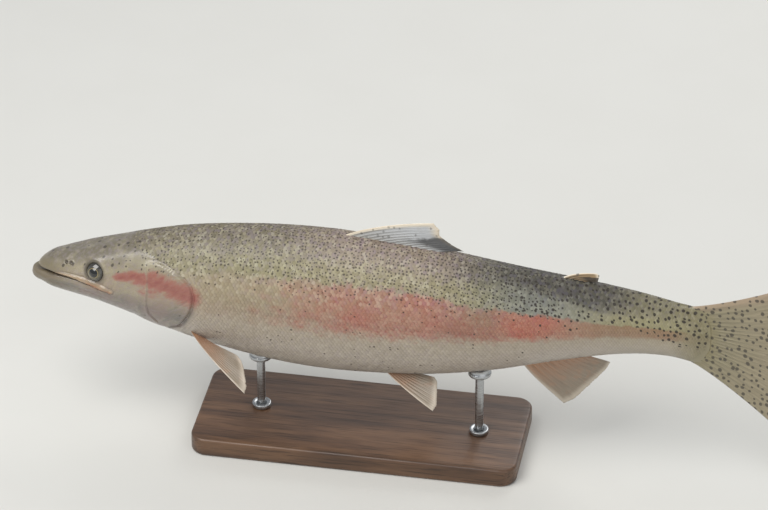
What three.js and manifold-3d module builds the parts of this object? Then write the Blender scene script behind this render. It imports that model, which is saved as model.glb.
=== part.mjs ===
// A life-size rainbow trout, a spawning male, held over a plain base by two short rods.
// Millimetres, +Z up. The fish swims towards -X and its left side faces -Y.
// The origin is the middle of the base's underside.
//
// The body is first modelled straight: x runs back from the snout tip, y is positive
// on the fish's right side, and z is the height above the body's axis. Every solid is
// cut in that straight frame, and then follows the bent spine.

import * as THREE from "three";
import { mergeVertices } from "three/addons/utils/BufferGeometryUtils.js";
import Module from "manifold-3d";

const wasm = await Module();
wasm.setup();

// Driving sizes.

const axisHeight = 152; // of the body's axis over the floor
const cutGap = 0.35; // between neighbouring solids

const degrees = Math.PI / 180;

// The body's outline at each station, over the 620 from the snout tip to the root of
// the tail fin and a little past it: heights of the back and the belly from the axis,
// half of the width, and the level where the body is widest. Roof and keel say how full
// the section is above and below that level: 2 is an ellipse, and more is squarer.
const stations = [
  { at: 0, back: 11, belly: 16.5, half: 13, mid: -3, roof: 2.1, keel: 2.1 },
  { at: 24, back: 18, belly: 22, half: 19.5, mid: -3, roof: 2.2, keel: 2.1 },
  { at: 56, back: 29, belly: 29, half: 26, mid: 0, roof: 2.3, keel: 2 },
  { at: 82, back: 37.5, belly: 36.5, half: 31, mid: 0, roof: 2.2, keel: 1.9 },
  { at: 115, back: 48, belly: 47.5, half: 36, mid: 0, roof: 2.1, keel: 1.85 },
  { at: 150, back: 57, belly: 59, half: 39.5, mid: 0, roof: 2, keel: 1.9 },
  { at: 200, back: 65, belly: 69, half: 42, mid: 0, roof: 1.95, keel: 2 },
  { at: 250, back: 69.5, belly: 74.5, half: 43.5, mid: 0, roof: 1.95, keel: 2.1 },
  { at: 300, back: 70.5, belly: 75, half: 43, mid: 0, roof: 1.95, keel: 2.1 },
  { at: 372, back: 65, belly: 69.5, half: 39.5, mid: 0, roof: 1.95, keel: 2 },
  { at: 432, back: 57, belly: 59.5, half: 34, mid: 0, roof: 1.95, keel: 1.9 },
  { at: 494, back: 47.5, belly: 45, half: 26, mid: 0, roof: 1.9, keel: 1.85 },
  { at: 557, back: 37, belly: 33.5, half: 17, mid: 0, roof: 1.9, keel: 1.85 },
  { at: 600, back: 31, belly: 29.5, half: 11.5, mid: 0, roof: 1.9, keel: 1.9 },
  { at: 628, back: 30.5, belly: 30.5, half: 6.6, mid: 0, roof: 2.1, keel: 2.1 },
  { at: 646, back: 32, belly: 32, half: 2.3, mid: 0, roof: 2.4, keel: 2.4 },
];

// Which way the spine heads at each place, in degrees from +X towards -Y: the tail
// beats to the left, and the rear of the trunk swings a little to the right before it.
const headings = [
  { at: 0, turn: 1.5 },
  { at: 160, turn: 1.5 },
  { at: 330, turn: 2.5 },
  { at: 420, turn: -1 },
  { at: 500, turn: -5.5 },
  { at: 560, turn: 0 },
  { at: 620, turn: 14 },
  { at: 670, turn: 18 },
  { at: 740, turn: 16 },
];

const snout = {
  round: 22, // how far back its rounding reaches
  level: -3, // height of its tip, where the mouth starts
  jawLead: 4.5, // how far the lower jaw stands out before it
  jawReach: 70, // where that lead has died out
};

// The knob at the lower jaw's tip, which hooks up before the snout.
const hook = { at: 5, level: -8.6, long: 10.5, half: 11, high: 7.2 };

const mouth = {
  corner: 75, // how far back the cleft runs
  gape: 3.6, // opening at the lips' front
  joint: 92, // where the lower jaw ends below the cheek
};

// The mouth's line from the snout tip to its corner.
const lips = [
  { at: 0, level: -2.6 },
  { at: 14, level: 0.4 },
  { at: 30, level: 0.9 },
  { at: 44, level: 0 },
  { at: 60, level: -3.2 },
  { at: 76, level: -7 },
];

// The upper jaw bone's blade, which lies along the mouth.
const maxilla = { rear: 81, mid: -4.6, proud: 1.1, thick: 1.2 };
const maxillaEdges = [
  { at: 13, top: 2, bottom: 0.7 },
  { at: 28, top: 3.9, bottom: 0.9 },
  { at: 44, top: 4.5, bottom: -0.7 },
  { at: 60, top: 2.7, bottom: -4.6 },
  { at: 75, top: -1.4, bottom: -7.6 },
];

const eye = { at: 62, level: 12.3, radius: 9.6, depth: 6.5, sunk: 4 };

const gill = { front: 99, top: 31, rear: 159, bottom: -42, proud: 1.3, thick: 2.6 };

const nape = { top: 97, throat: 118 }; // where the head ends on the back and below

const trunkCuts = [250, 372, 520]; // where trunk and tail stem are divided

const stand = {
  length: 310,
  width: 124,
  thick: 18,
  corner: 16,
  bevel: 2.5,
  middle: 312, // the station over the base's middle
  rodRadius: 4,
  rods: { front: 214, rear: 424 },
  saddleRadius: 11,
  saddleDepth: 7,
  collarRadius: 9,
  collarHeight: 4,
};

// Colours.

function finish(color, roughness, metalness = 0) {
  return new THREE.MeshStandardMaterial({ color, roughness, metalness });
}

const finishes = {
  head: finish(0x8f8a6a, 0.35),
  jaw: finish(0x7d7860, 0.35),
  gillCover: finish(0xa8504a, 0.35),
  trunk: finish(0x827a5c, 0.35),
  fin: finish(0x8b8d84, 0.45),
  pairedFin: finish(0xa08a72, 0.45),
  eye: finish(0x1c1a16, 0.08),
  wood: finish(0x4a3527, 0.5),
  steel: finish(0xb4b6b8, 0.3, 1),
};

// Small helpers.

const mix = (a, b, t) => a + (b - a) * t;
const clamp = (x, low, high) => Math.min(high, Math.max(low, x));
const smooth = (t) => clamp(t, 0, 1) ** 2 * (3 - 2 * clamp(t, 0, 1));

// A smooth curve through rows of numbers, such as the stations, read at x.
function through(rows, key, x) {
  const last = rows.length - 1;
  const at = clamp(x, rows[0].at, rows[last].at);
  let i = rows.findIndex((row) => row.at >= at) - 1;
  i = clamp(i, 0, last - 1);
  const slope = (k) => {
    const low = rows[Math.max(k - 1, 0)];
    const high = rows[Math.min(k + 1, last)];
    return (high[key] - low[key]) / (high.at - low.at);
  };
  const span = rows[i + 1].at - rows[i].at;
  const t = (at - rows[i].at) / span;
  const t2 = t * t;
  const t3 = t2 * t;
  return (
    rows[i][key] * (2 * t3 - 3 * t2 + 1) +
    slope(i) * span * (t3 - 2 * t2 + t) +
    rows[i + 1][key] * (3 * t2 - 2 * t3) +
    slope(i + 1) * span * (t3 - t2)
  );
}

// A closed geometry as a solid that can be cut and joined.
function solid(geometry) {
  const bare = geometry.index ? geometry.toNonIndexed() : geometry.clone();
  bare.deleteAttribute("normal");
  bare.deleteAttribute("uv");
  const merged = mergeVertices(bare, 1e-3);
  const triVerts = new Uint32Array(merged.index.array);
  const vertProperties = merged.attributes.position.array;
  const made = new wasm.Manifold(new wasm.Mesh({ numProp: 3, vertProperties, triVerts }));
  if (made.volume() > 0) return made;
  for (let i = 0; i < triVerts.length; i += 3) {
    [triVerts[i], triVerts[i + 1]] = [triVerts[i + 1], triVerts[i]];
  }
  return new wasm.Manifold(new wasm.Mesh({ numProp: 3, vertProperties, triVerts }));
}

// A solid as a geometry, with each corner moved by place().
function geometryOf(made, place = (point) => point) {
  const mesh = made.getMesh();
  const corners = new Float32Array(mesh.numVert * 3);
  const point = new THREE.Vector3();
  for (let i = 0; i < mesh.numVert; i++) {
    point.fromArray(mesh.vertProperties, i * mesh.numProp);
    place(point).toArray(corners, i * 3);
  }
  const geometry = new THREE.BufferGeometry();
  geometry.setAttribute("position", new THREE.BufferAttribute(corners, 3));
  geometry.setIndex(new THREE.BufferAttribute(mesh.triVerts, 1));
  return geometry;
}

// Moves every corner of a geometry by place().
function moved(geometry, place) {
  const corners = geometry.attributes.position;
  const point = new THREE.Vector3();
  for (let i = 0; i < corners.count; i++) {
    point.fromBufferAttribute(corners, i);
    corners.setXYZ(i, ...place(point, i).toArray());
  }
  return geometry;
}

// A block between two stations, one side of the fish or both.
function block(from, to, side = 0) {
  const size = 400;
  const wide = side ? size / 2 : size;
  const box = new THREE.BoxGeometry(to - from, wide, size);
  box.translate((from + to) / 2, (side * size) / 4, 0);
  return solid(box);
}

// A prism across the whole width, over an outline drawn in the side view.
function prism(points) {
  const shape = new THREE.Shape(points.map(([x, z]) => new THREE.Vector2(x, z)));
  const depth = 160;
  const made = new THREE.ExtrudeGeometry(shape, { depth, bevelEnabled: false });
  made.rotateX(Math.PI / 2);
  made.translate(0, depth / 2, 0);
  return solid(made);
}

// The same over a smooth closed curve through the points.
function roundedPrism(points, steps) {
  const corners = points.map(([x, z]) => new THREE.Vector3(x, z, 0));
  const curve = new THREE.CatmullRomCurve3(corners, true, "centripetal");
  const drawn = curve.getPoints(points.length * steps).slice(0, -1);
  return prism(drawn.map((p) => [p.x, p.y]));
}

// Spine.

// The spine's place and heading at every millimetre, from before the lower jaw's tip
// to behind the tail fin.
const spineStart = -20;
const spine = [];
{
  const here = { x: spineStart, y: 0, turn: 0 };
  for (let at = spineStart; at <= 760; at++) {
    here.turn = through(headings, "turn", at) * degrees;
    spine.push({ ...here });
    here.x += Math.cos(here.turn);
    here.y -= Math.sin(here.turn);
  }
}

// A point of the straight fish, set on the bent spine.
function bend(point) {
  const place = clamp(point.x - spineStart, 0, spine.length - 1.001);
  const i = Math.floor(place);
  const t = place - i;
  const turn = mix(spine[i].turn, spine[i + 1].turn, t);
  const x = mix(spine[i].x, spine[i + 1].x, t) + point.y * Math.sin(turn);
  const y = mix(spine[i].y, spine[i + 1].y, t) + point.y * Math.cos(turn);
  return point.set(x, y, point.z);
}

// Body form.

// A point of the body's surface. Angle runs from the back, over the right side, to the
// belly and up the left side. Grow lifts the surface off, or sinks it.
function surface(x, angle, grow = 0) {
  const row = {};
  for (const key of ["back", "belly", "half", "mid", "roof", "keel"]) {
    row[key] = through(stations, key, x);
  }
  const up = Math.cos(angle);
  const out = Math.sin(angle);
  const power = 2 / (up >= 0 ? row.roof : row.keel);
  const reach = up >= 0 ? row.back + grow - row.mid : row.mid + row.belly + grow;
  let z = row.mid + Math.sign(up) * reach * Math.abs(up) ** power;
  let y = Math.sign(out) * (row.half + grow) * Math.abs(out) ** power;
  const rounding = Math.sqrt(1 - (1 - clamp(x / snout.round, 0, 1)) ** 2);
  z = snout.level + (z - snout.level) * rounding;
  y *= rounding;
  // The lower jaw leads, and the flesh ends in a curve on the tail fin's root.
  const ahead = smooth(1 - x / snout.jawReach);
  const low = smooth((snout.level + 1 - z) / 5);
  const onFin = smooth((x - 590) / 50) * (z / 32) ** 2;
  return new THREE.Vector3(x - snout.jawLead * ahead * low - 9 * onFin, y, z);
}

// The whole body as one closed form.
function bodyForm(grow = 0) {
  const around = 26;
  const noseRings = 5;
  const end = stations.at(-1).at + grow;
  const rings = [-grow];
  for (let k = 1; k <= noseRings; k++) {
    rings.push(snout.round * (1 - Math.cos((k / noseRings) * 90 * degrees)));
  }
  for (let x = 34; x < 160; x += 12.5) rings.push(x);
  for (let x = 162; x < 625; x += 27) rings.push(x);
  rings.push(628, end, end);
  const form = new THREE.SphereGeometry(1, around, rings.length - 1);
  return moved(form, (point, i) => {
    const ring = Math.floor(i / (around + 1));
    const angle = ((i % (around + 1)) / around) * 2 * Math.PI;
    if (ring === 0) return point.set(rings[0], 0, snout.level);
    if (ring === rings.length - 1) return point.set(rings[ring], 0, 0);
    return point.copy(surface(rings[ring], angle, grow));
  });
}

const body = solid(bodyForm());
const bodyOuter = solid(bodyForm(gill.proud));
const bodyClear = solid(bodyForm(cutGap));
const gillFloor = solid(bodyForm(-gill.thick));
const gillBed = solid(bodyForm(-gill.thick - cutGap));
const maxillaOuter = solid(bodyForm(maxilla.proud));
const maxillaFloor = solid(bodyForm(-maxilla.thick));
const maxillaBed = solid(bodyForm(-maxilla.thick - cutGap));

// Side-view regions.

// The gill cover's outline, grown outwards by a clearance.
function gillOutline(clear = 0) {
  const { front, top, rear, bottom } = gill;
  return [
    [front + 11, top + clear],
    [front + 27, top + 2 + clear],
    [rear - 19 + clear / 2, top - 3 + clear],
    [rear - 4 + clear, top - 12.5],
    [rear + clear, 5],
    [rear - 4 + clear, bottom + 30],
    [rear - 18 + clear / 2, bottom + 9 - clear],
    [front + 20, bottom - clear],
    [front + 2, bottom + 3 - clear],
    [front - 4 - clear, bottom + 18],
    [front - 2 - clear, -2],
    [front + 2 - clear, top - 13],
  ];
}

// The head's rear edge: down from the nape, below the gill cover's plate, to the throat.
function headOutline(clear = 0) {
  const { front, top, rear, bottom } = gill;
  return [
    [-60, 120],
    [nape.top + clear, 120],
    [nape.top + clear, 46],
    [front + 24 + clear, top - 3],
    [rear - 20 + clear, top - 12],
    [rear - 9 + clear, 4],
    [rear - 13 + clear, bottom + 28],
    [rear - 24 + clear, bottom + 14],
    [nape.throat + clear, bottom + 6],
    [nape.throat + clear, -120],
    [-60, -120],
  ];
}

// The upper jaw bone's blade along the mouth, widest at its rounded rear end.
function maxillaOutline(clear = 0) {
  const start = [maxillaEdges[0].at - 3 - clear, 1];
  const top = maxillaEdges.map((row) => [row.at, row.top + clear]);
  const bottom = maxillaEdges.map((row) => [row.at, row.bottom - clear]).reverse();
  const tip = [maxilla.rear + clear, maxilla.mid];
  return [start, ...top, tip, ...bottom];
}

// The gap of the open mouth, and behind its corner the cut that frees the lower jaw.
function mouthOutline() {
  const upper = [];
  const lower = [];
  const count = 8;
  for (let k = 0; k <= count; k++) {
    const x = mix(-12, mouth.corner, k / count);
    const gape = mix(mouth.gape, cutGap, clamp(x / mouth.corner, 0, 1));
    const level = through(lips, "level", x);
    upper.push([x, level + gape / 2]);
    lower.unshift([x, level - gape / 2]);
  }
  return [...upper, [mouth.joint + cutGap, -70], [mouth.joint, -70], ...lower];
}

const gillRegion = roundedPrism(gillOutline(), 3);
const gillRoom = roundedPrism(gillOutline(cutGap), 3);
const headRegion = prism(headOutline());
const trunkEdge = prism(headOutline(cutGap));
const maxillaRegion = roundedPrism(maxillaOutline(), 2);
const maxillaRoom = roundedPrism(maxillaOutline(cutGap), 2);
const mouthGap = prism(mouthOutline());

// Head.

const leftSide = block(-40, 300, -1);
const rightSide = block(-40, 300, 1);

// An eyeball, flattened across, facing out from the head's surface.
function eyeball(side, clear = 0) {
  const row = (key) => through(stations, key, eye.at);
  const rise = (eye.level - row("mid")) / (row("back") - row("mid"));
  const angle = Math.acos(rise ** (row("roof") / 2));
  const here = surface(eye.at, angle);
  const back = surface(eye.at + 1, angle).sub(here);
  const down = surface(eye.at, angle + 0.01).sub(here);
  const out = new THREE.Vector3().crossVectors(down, back).normalize();
  if (out.y < 0) out.negate();
  const ball = new THREE.SphereGeometry(1, 14, 8);
  const radius = eye.radius + clear;
  ball.scale(radius, eye.depth + clear, radius);
  const facing = new THREE.Quaternion();
  facing.setFromUnitVectors(new THREE.Vector3(0, 1, 0), out);
  ball.applyQuaternion(facing);
  ball.translate(...here.addScaledVector(out, -eye.sunk).toArray());
  ball.scale(1, side, 1);
  return solid(ball);
}

// The lower jaw's hooked tip.
function jawTip(clear = 0) {
  const ball = new THREE.SphereGeometry(1, 14, 8);
  ball.rotateX(Math.PI / 2);
  ball.scale(hook.long + clear, hook.half + clear, hook.high + clear);
  ball.translate(hook.at, 0, hook.level);
  return solid(ball);
}

function gillCover(side) {
  const half = side < 0 ? leftSide : rightSide;
  const plate = bodyOuter.subtract(gillFloor).intersect(gillRegion);
  return plate.intersect(half);
}

function maxillaBlade(side) {
  const half = side < 0 ? leftSide : rightSide;
  const plate = maxillaOuter.subtract(maxillaFloor).intersect(maxillaRegion);
  return plate.intersect(half);
}

const gillPockets = gillRoom.subtract(gillBed);
const maxillaPockets = maxillaRoom.subtract(maxillaBed);
const skull = body
  .intersect(headRegion)
  .subtract(gillPockets)
  .subtract(maxillaPockets)
  .subtract(mouthGap);
const jawPieces = skull.decompose();
jawPieces.sort((a, b) => b.volume() - a.volume());
const head = jawPieces[0]
  .subtract(eyeball(-1, cutGap))
  .subtract(eyeball(1, cutGap))
  .subtract(jawTip(cutGap));
const lowerJaw = jawPieces[1].add(jawTip());

// Trunk and tail stem.

const trunkWhole = body.subtract(trunkEdge).subtract(gillPockets);

function trunkPiece(from, to) {
  return trunkWhole.intersect(block(from + cutGap / 2, to - cutGap / 2));
}

// Fins.

const backAt = (x) => through(stations, "back", x);
const bellyAt = (x) => through(stations, "belly", x);

// How far a ray of a folded fin has run back and up, t of the way along it. The ray
// leaves the body at one angle and bows over to another.
function along({ length, leave, lean }, t) {
  const parts = 12;
  const run = { back: 0, up: 0 };
  for (let k = 0; k < parts; k++) {
    const angle = mix(leave, lean, (((k + 0.5) / parts) * t) ** 0.35) * degrees;
    run.back += (Math.cos(angle) * length * t) / parts;
    run.up += (Math.sin(angle) * length * t) / parts;
  }
  return run;
}

// A fin of many rays. Root says where ray a, from 0 to 1, starts, and ray says how it
// runs. Back and up are the directions a ray runs in, and flat is the way across the
// plate. The plate thins towards its edge, has a ridge at each ray, and bows. Trim is
// the share of its length that the first ray loses to a rounded corner, and the last.
function fin({ rays, steps, root, ray, up, flat, thick, edge, bow = 0, trim = [0.05, 0.05] }) {
  const columns = rays * 2;
  const plate = new THREE.BoxGeometry(1, 1, 1, columns, steps, 1);
  return solid(
    moved(plate, (point) => {
      const a = point.x + 0.5;
      const t = point.y + 0.5;
      const side = Math.sign(point.z);
      const onRay = Math.round(a * columns) % 2 === 1;
      const half = (mix(thick, edge, t) * (onRay ? 1 : 0.62)) / 2;
      const first = trim[0] * (1 - smooth(a / 0.16));
      const last = trim[1] * (1 - smooth((1 - a) / 0.16));
      const run = along(ray(a), t * (1 - first - last) * (onRay ? 1 : 0.994));
      const swell = bow * Math.sin(t * 90 * degrees) ** 2;
      return point
        .copy(root(a))
        .addScaledVector(backwards, run.back)
        .addScaledVector(up, run.up)
        .addScaledVector(flat, side * half + swell);
    }),
  );
}

const backwards = new THREE.Vector3(1, 0, 0);
const upwards = new THREE.Vector3(0, 0, 1);
const downwards = new THREE.Vector3(0, 0, -1);
const across = new THREE.Vector3(0, 1, 0);

// A folded fin on the back, from one station to another.
const dorsalFin = fin({
  rays: 8,
  steps: 5,
  root: (a) => new THREE.Vector3(mix(292, 376, a), 0, backAt(mix(292, 376, a)) - 4),
  ray: (a) => ({
    length: 97 * (1 - 0.66 * a ** 0.7),
    leave: mix(44, 25, a ** 0.5),
    lean: mix(5.5, 0, a ** 0.8),
  }),
  up: upwards,
  flat: across,
  thick: 2.6,
  edge: 0.9,
  bow: 3,
  trim: [0.04, 0.05],
});

const adiposeFin = fin({
  rays: 3,
  steps: 4,
  root: (a) => new THREE.Vector3(mix(497, 515, a), 0, backAt(mix(497, 515, a)) - 3),
  ray: (a) => ({ length: mix(37, 16, a), leave: mix(54, 34, a), lean: mix(-3, -8, a) }),
  up: upwards,
  flat: across,
  thick: 4,
  edge: 1.4,
  trim: [0.07, 0],
});

const analFin = fin({
  rays: 8,
  steps: 3,
  root: (a) => new THREE.Vector3(mix(462, 518, a), 0, 4 - bellyAt(mix(462, 518, a))),
  ray: (a) => ({ length: 68 * (1 - 0.54 * a), leave: mix(66, 34, a), lean: mix(44, 20, a) }),
  up: downwards,
  flat: across,
  thick: 2.6,
  edge: 0.9,
  bow: 4,
});

const tailFin = fin({
  rays: 12,
  steps: 3,
  root: (a) => {
    const level = 1 - 2 * a;
    return new THREE.Vector3(640 - 24 * level ** 4, 0, 28.5 * level);
  },
  ray: (a) => {
    const level = 1 - 2 * a;
    const length = 70 + 36 * level ** 4 + 6 * level ** 2;
    return { length, leave: 12 * level, lean: 33 * level };
  },
  up: upwards,
  flat: across,
  thick: 3,
  edge: 0.9,
  trim: [0.07, 0.07],
});

// A paired fin on the left side. Dip is how far its plane hangs below level.
function pairedFin({ from, to, dip, lengths, leave, lean, rays, bow }) {
  const start = new THREE.Vector3(...from);
  const end = new THREE.Vector3(...to);
  return fin({
    rays,
    steps: 3,
    root: (a) => start.clone().lerp(end, a),
    ray: (a) => ({
      length: mix(...lengths, a ** 0.8),
      leave: mix(...leave, a),
      lean: mix(...lean, a),
    }),
    up: new THREE.Vector3(0, -Math.cos(dip * degrees), -Math.sin(dip * degrees)),
    flat: new THREE.Vector3(0, -Math.sin(dip * degrees), Math.cos(dip * degrees)),
    thick: 2.6,
    edge: 0.9,
    bow,
  });
}

const pectoralFin = pairedFin({
  from: [152, -27, -37],
  to: [162, -24, -45],
  dip: 36,
  lengths: [94, 46],
  leave: [58, 34],
  lean: [36, 20],
  rays: 7,
  bow: 5,
});

const pelvicFin = pairedFin({
  from: [331, -13, -60],
  to: [345, -8, -63],
  dip: 48,
  lengths: [73, 42],
  leave: [46, 16],
  lean: [30, 8],
  rays: 5,
  bow: 4,
});

// What of a fin stands clear of the body.
function outside(made, clearOf = bodyClear) {
  const pieces = made.subtract(clearOf).decompose();
  pieces.sort((a, b) => b.volume() - a.volume());
  return pieces[0];
}

const mirrored = (made) => solid(geometryOf(made, (p) => p.setY(-p.y)));

// Stand.

const overBase = bend(new THREE.Vector3(stand.middle, 0, 0));
const lift = new THREE.Vector3(-overBase.x, -overBase.y, axisHeight);
const placed = (point) => bend(point).add(lift);
const bodyInPlace = solid(geometryOf(bodyClear, placed));

function standBase() {
  const { length, width, corner, bevel } = stand;
  const x = length / 2 - bevel;
  const y = width / 2 - bevel;
  const shape = new THREE.Shape();
  shape.moveTo(-x + corner, -y);
  shape.lineTo(x - corner, -y);
  shape.absarc(x - corner, -y + corner, corner, -Math.PI / 2, 0);
  shape.lineTo(x, y - corner);
  shape.absarc(x - corner, y - corner, corner, 0, Math.PI / 2);
  shape.lineTo(-x + corner, y);
  shape.absarc(-x + corner, y - corner, corner, Math.PI / 2, Math.PI);
  shape.lineTo(-x, -y + corner);
  shape.absarc(-x + corner, -y + corner, corner, Math.PI, Math.PI * 1.5);
  const plate = new THREE.ExtrudeGeometry(shape, {
    depth: stand.thick - 2 * bevel,
    bevelThickness: bevel,
    bevelSize: bevel,
    bevelSegments: 1,
    curveSegments: 3,
  });
  plate.translate(0, 0, bevel);
  return solid(plate);
}

// A ring round a rod, or a plain disc where its bore is 0.
function ring(outer, inner, low, high) {
  const soft = 1;
  const profile = [
    [inner, low],
    [outer, low],
    [outer, high - soft],
    [outer - soft, high],
    [inner, high],
  ].map(([r, z]) => new THREE.Vector2(r, z));
  if (inner > 0) profile.push(profile[0].clone());
  const turned = new THREE.LatheGeometry(profile, 12);
  turned.rotateX(Math.PI / 2);
  return turned;
}

// A rod with its collar on the base and its saddle under the belly.
function rodSet(at) {
  const foot = placed(new THREE.Vector3(at, 0, 0));
  const belly = axisHeight - bellyAt(at);
  const saddleLow = belly - stand.saddleDepth;
  const bottom = stand.thick + cutGap;
  const top = saddleLow - cutGap;
  const { rodRadius } = stand;
  const rod = new THREE.CylinderGeometry(rodRadius, rodRadius, top - bottom, 16);
  rod.rotateX(Math.PI / 2);
  rod.translate(foot.x, foot.y, (top + bottom) / 2);
  const bore = rodRadius + cutGap;
  const collar = ring(stand.collarRadius, bore, bottom, bottom + stand.collarHeight);
  const saddle = ring(stand.saddleRadius, 0, saddleLow, belly + 6);
  collar.translate(foot.x, foot.y, 0);
  saddle.translate(foot.x, foot.y, 0);
  return { rod, collar, saddle: solid(saddle).subtract(bodyInPlace) };
}

// The scene graph.

const fish = new THREE.Group();
fish.position.copy(lift);
const display = new THREE.Group();
const trout = new THREE.Group();
trout.add(fish, display);

// A solid of the straight fish, bent and added under its name.
function addFlesh(name, made, material) {
  const mesh = new THREE.Mesh(geometryOf(made, bend), material);
  mesh.name = name;
  fish.add(mesh);
}

function addStand(name, geometry, material) {
  const mesh = new THREE.Mesh(geometry, material);
  mesh.name = `stand_${name}`;
  display.add(mesh);
}

addFlesh("head", head, finishes.head);
addFlesh("lower_jaw", lowerJaw, finishes.jaw);
for (const [name, side] of Object.entries({ left: -1, right: 1 })) {
  addFlesh(`eye_${name}`, eyeball(side), finishes.eye);
  addFlesh(`maxilla_${name}`, maxillaBlade(side), finishes.head);
  addFlesh(`gill_cover_${name}`, gillCover(side), finishes.gillCover);
}

const trunkNames = ["trunk_front", "trunk_middle", "trunk_rear", "tail_stem"];
const trunkEnds = [0, ...trunkCuts, 700];
trunkNames.forEach((name, k) => {
  addFlesh(name, trunkPiece(trunkEnds[k], trunkEnds[k + 1]), finishes.trunk);
});

addFlesh("dorsal_fin", outside(dorsalFin), finishes.fin);
addFlesh("adipose_fin", outside(adiposeFin), finishes.fin);
addFlesh("anal_fin", outside(analFin), finishes.pairedFin);
addFlesh("tail_fin", outside(tailFin), finishes.fin);
for (const [name, made] of Object.entries({
  pectoral_fin: outside(pectoralFin, bodyClear.add(gillRoom)),
  pelvic_fin: outside(pelvicFin),
})) {
  addFlesh(`${name}_left`, made, finishes.pairedFin);
  addFlesh(`${name}_right`, mirrored(made), finishes.pairedFin);
}

addStand("base", geometryOf(standBase()), finishes.wood);
for (const [name, at] of Object.entries(stand.rods)) {
  const { rod, collar, saddle } = rodSet(at);
  addStand(`rod_${name}`, rod, finishes.steel);
  addStand(`collar_${name}`, collar, finishes.steel);
  addStand(`saddle_${name}`, geometryOf(saddle), finishes.steel);
}

export default trout;
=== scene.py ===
import bpy
import bmesh
import math
import numpy as np
from functools import reduce
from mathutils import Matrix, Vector


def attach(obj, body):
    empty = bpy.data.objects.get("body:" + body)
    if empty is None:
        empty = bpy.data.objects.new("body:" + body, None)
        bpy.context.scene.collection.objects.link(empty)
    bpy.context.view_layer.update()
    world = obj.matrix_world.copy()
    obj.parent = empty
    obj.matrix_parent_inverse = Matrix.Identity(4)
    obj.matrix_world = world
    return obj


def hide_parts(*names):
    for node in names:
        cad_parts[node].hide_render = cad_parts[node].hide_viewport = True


# A life-size rainbow trout, a spawning male, on a plain base with two rods.
# Body sizes below are millimetres in the straight fish: u runs back from the snout tip,
# w is positive on the fish's right side, v is the height above the body's axis.
# setInPlace() bends such points along the spine and gives metres in the frame.

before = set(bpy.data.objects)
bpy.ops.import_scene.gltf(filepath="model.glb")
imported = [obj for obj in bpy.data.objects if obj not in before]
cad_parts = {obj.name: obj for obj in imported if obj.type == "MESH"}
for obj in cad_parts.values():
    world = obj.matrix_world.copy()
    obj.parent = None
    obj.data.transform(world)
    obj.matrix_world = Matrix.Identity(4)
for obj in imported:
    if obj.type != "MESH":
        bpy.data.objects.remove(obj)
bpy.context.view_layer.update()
print("frame:", len(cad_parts), "nodes")

mm = 0.001
deg = math.pi / 180

cameraLook = {
    "azimuth": 10.3,
    "elevation": 33.0,
    "lens": 200.0,
    "distance": 3.96,
    "target": (0.01599, 0.02606, 0.18708),
}
studio = {
    "floorSize": 14.0,
    "floorTone": "#d5d4cf",
    "floorGrain": "#bdbab2",
    "skyTone": "#dfe3e8",
    "skyStrength": 0.62,
    "lightTone": (1.0, 0.985, 0.96),
    "lightAim": (0, 0, 0.15),
    "lights": {  # size, power and place
        "key": (1.6, 42.0, (-0.9, -0.9, 2.1)),
        "fill": (2.4, 12.0, (1.6, -1.9, 1.1)),
        "rim": (1.4, 16.0, (0.7, 1.7, 1.5)),
    },
}


def tone(code):
    # a colour code such as #a0b0c0 as the linear numbers that a socket takes
    parts = [int(code[k:k + 2], 16) / 255 for k in (1, 3, 5)]
    return tuple(p / 12.92 if p < 0.04045 else ((p + 0.055) / 1.055) ** 2.4 for p in parts) + (1.0,)


def placed(name, data, place, facing):
    thing = bpy.data.objects.new(name, data)
    thing.location = place
    thing.rotation_euler = facing.to_track_quat("-Z", "Y").to_euler()
    bpy.context.collection.objects.link(thing)
    return thing


def addCamera():
    look = cameraLook
    a, e = look["azimuth"] * deg, look["elevation"] * deg
    away = Vector((math.sin(a) * math.cos(e), -math.cos(a) * math.cos(e), math.sin(e)))
    view = bpy.data.cameras.new("camera")
    view.lens = look["lens"]
    view.sensor_width = 36
    place = Vector(look["target"]) + away * look["distance"]
    bpy.context.scene.camera = placed("camera", view, place, -away)


def addSoftBox(name, size, power, place):
    lamp = bpy.data.lights.new(name, "AREA")
    lamp.size = size
    lamp.energy = power
    lamp.color = studio["lightTone"]
    placed(name, lamp, place, Vector(studio["lightAim"]) - Vector(place))


addCamera()
for light, values in studio["lights"].items():
    addSoftBox(light, *values)
world = bpy.data.worlds.new("studio")
world.use_nodes = True
sky = world.node_tree.nodes["Background"].inputs
sky[0].default_value = tone(studio["skyTone"])
sky[1].default_value = studio["skyStrength"]
bpy.context.scene.world = world
bpy.context.scene.view_settings.view_transform = "Standard"
print("camera and lights set")

# Node helpers. A new node goes into the tree that its linked inputs belong to.


def feed(socket, value):
    # a socket takes a link from another node, a colour code or a plain value
    if isinstance(value, bpy.types.NodeSocket):
        socket.id_data.links.new(value, socket)
    elif value is not None:
        socket.default_value = tone(value) if isinstance(value, str) else value


def addNode(kind, inputs, **settings):
    # inputs go by name, or in order
    inputs = inputs if isinstance(inputs, dict) else dict(enumerate(inputs))
    tree = next(v.id_data for v in inputs.values() if isinstance(v, bpy.types.NodeSocket))
    node = tree.nodes.new("ShaderNode" + kind)
    for name, setting in settings.items():
        setattr(node, name, setting)
    for name, value in inputs.items():
        feed(node.inputs[name], value)
    return node


def maths(operation, *values):
    return addNode("Math", values, operation=operation).outputs[0]


def chained(operation):
    # a function that takes any number of values: a and b, then that and c, and so on
    return lambda *values: reduce(lambda a, b: maths(operation, a, b), values)


times, plus, minus, larger = [chained(name) for name in ("MULTIPLY", "ADD", "SUBTRACT", "MAXIMUM")]


def timesPlus(value, factor, more):
    return maths("MULTIPLY_ADD", value, factor, more)


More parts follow.
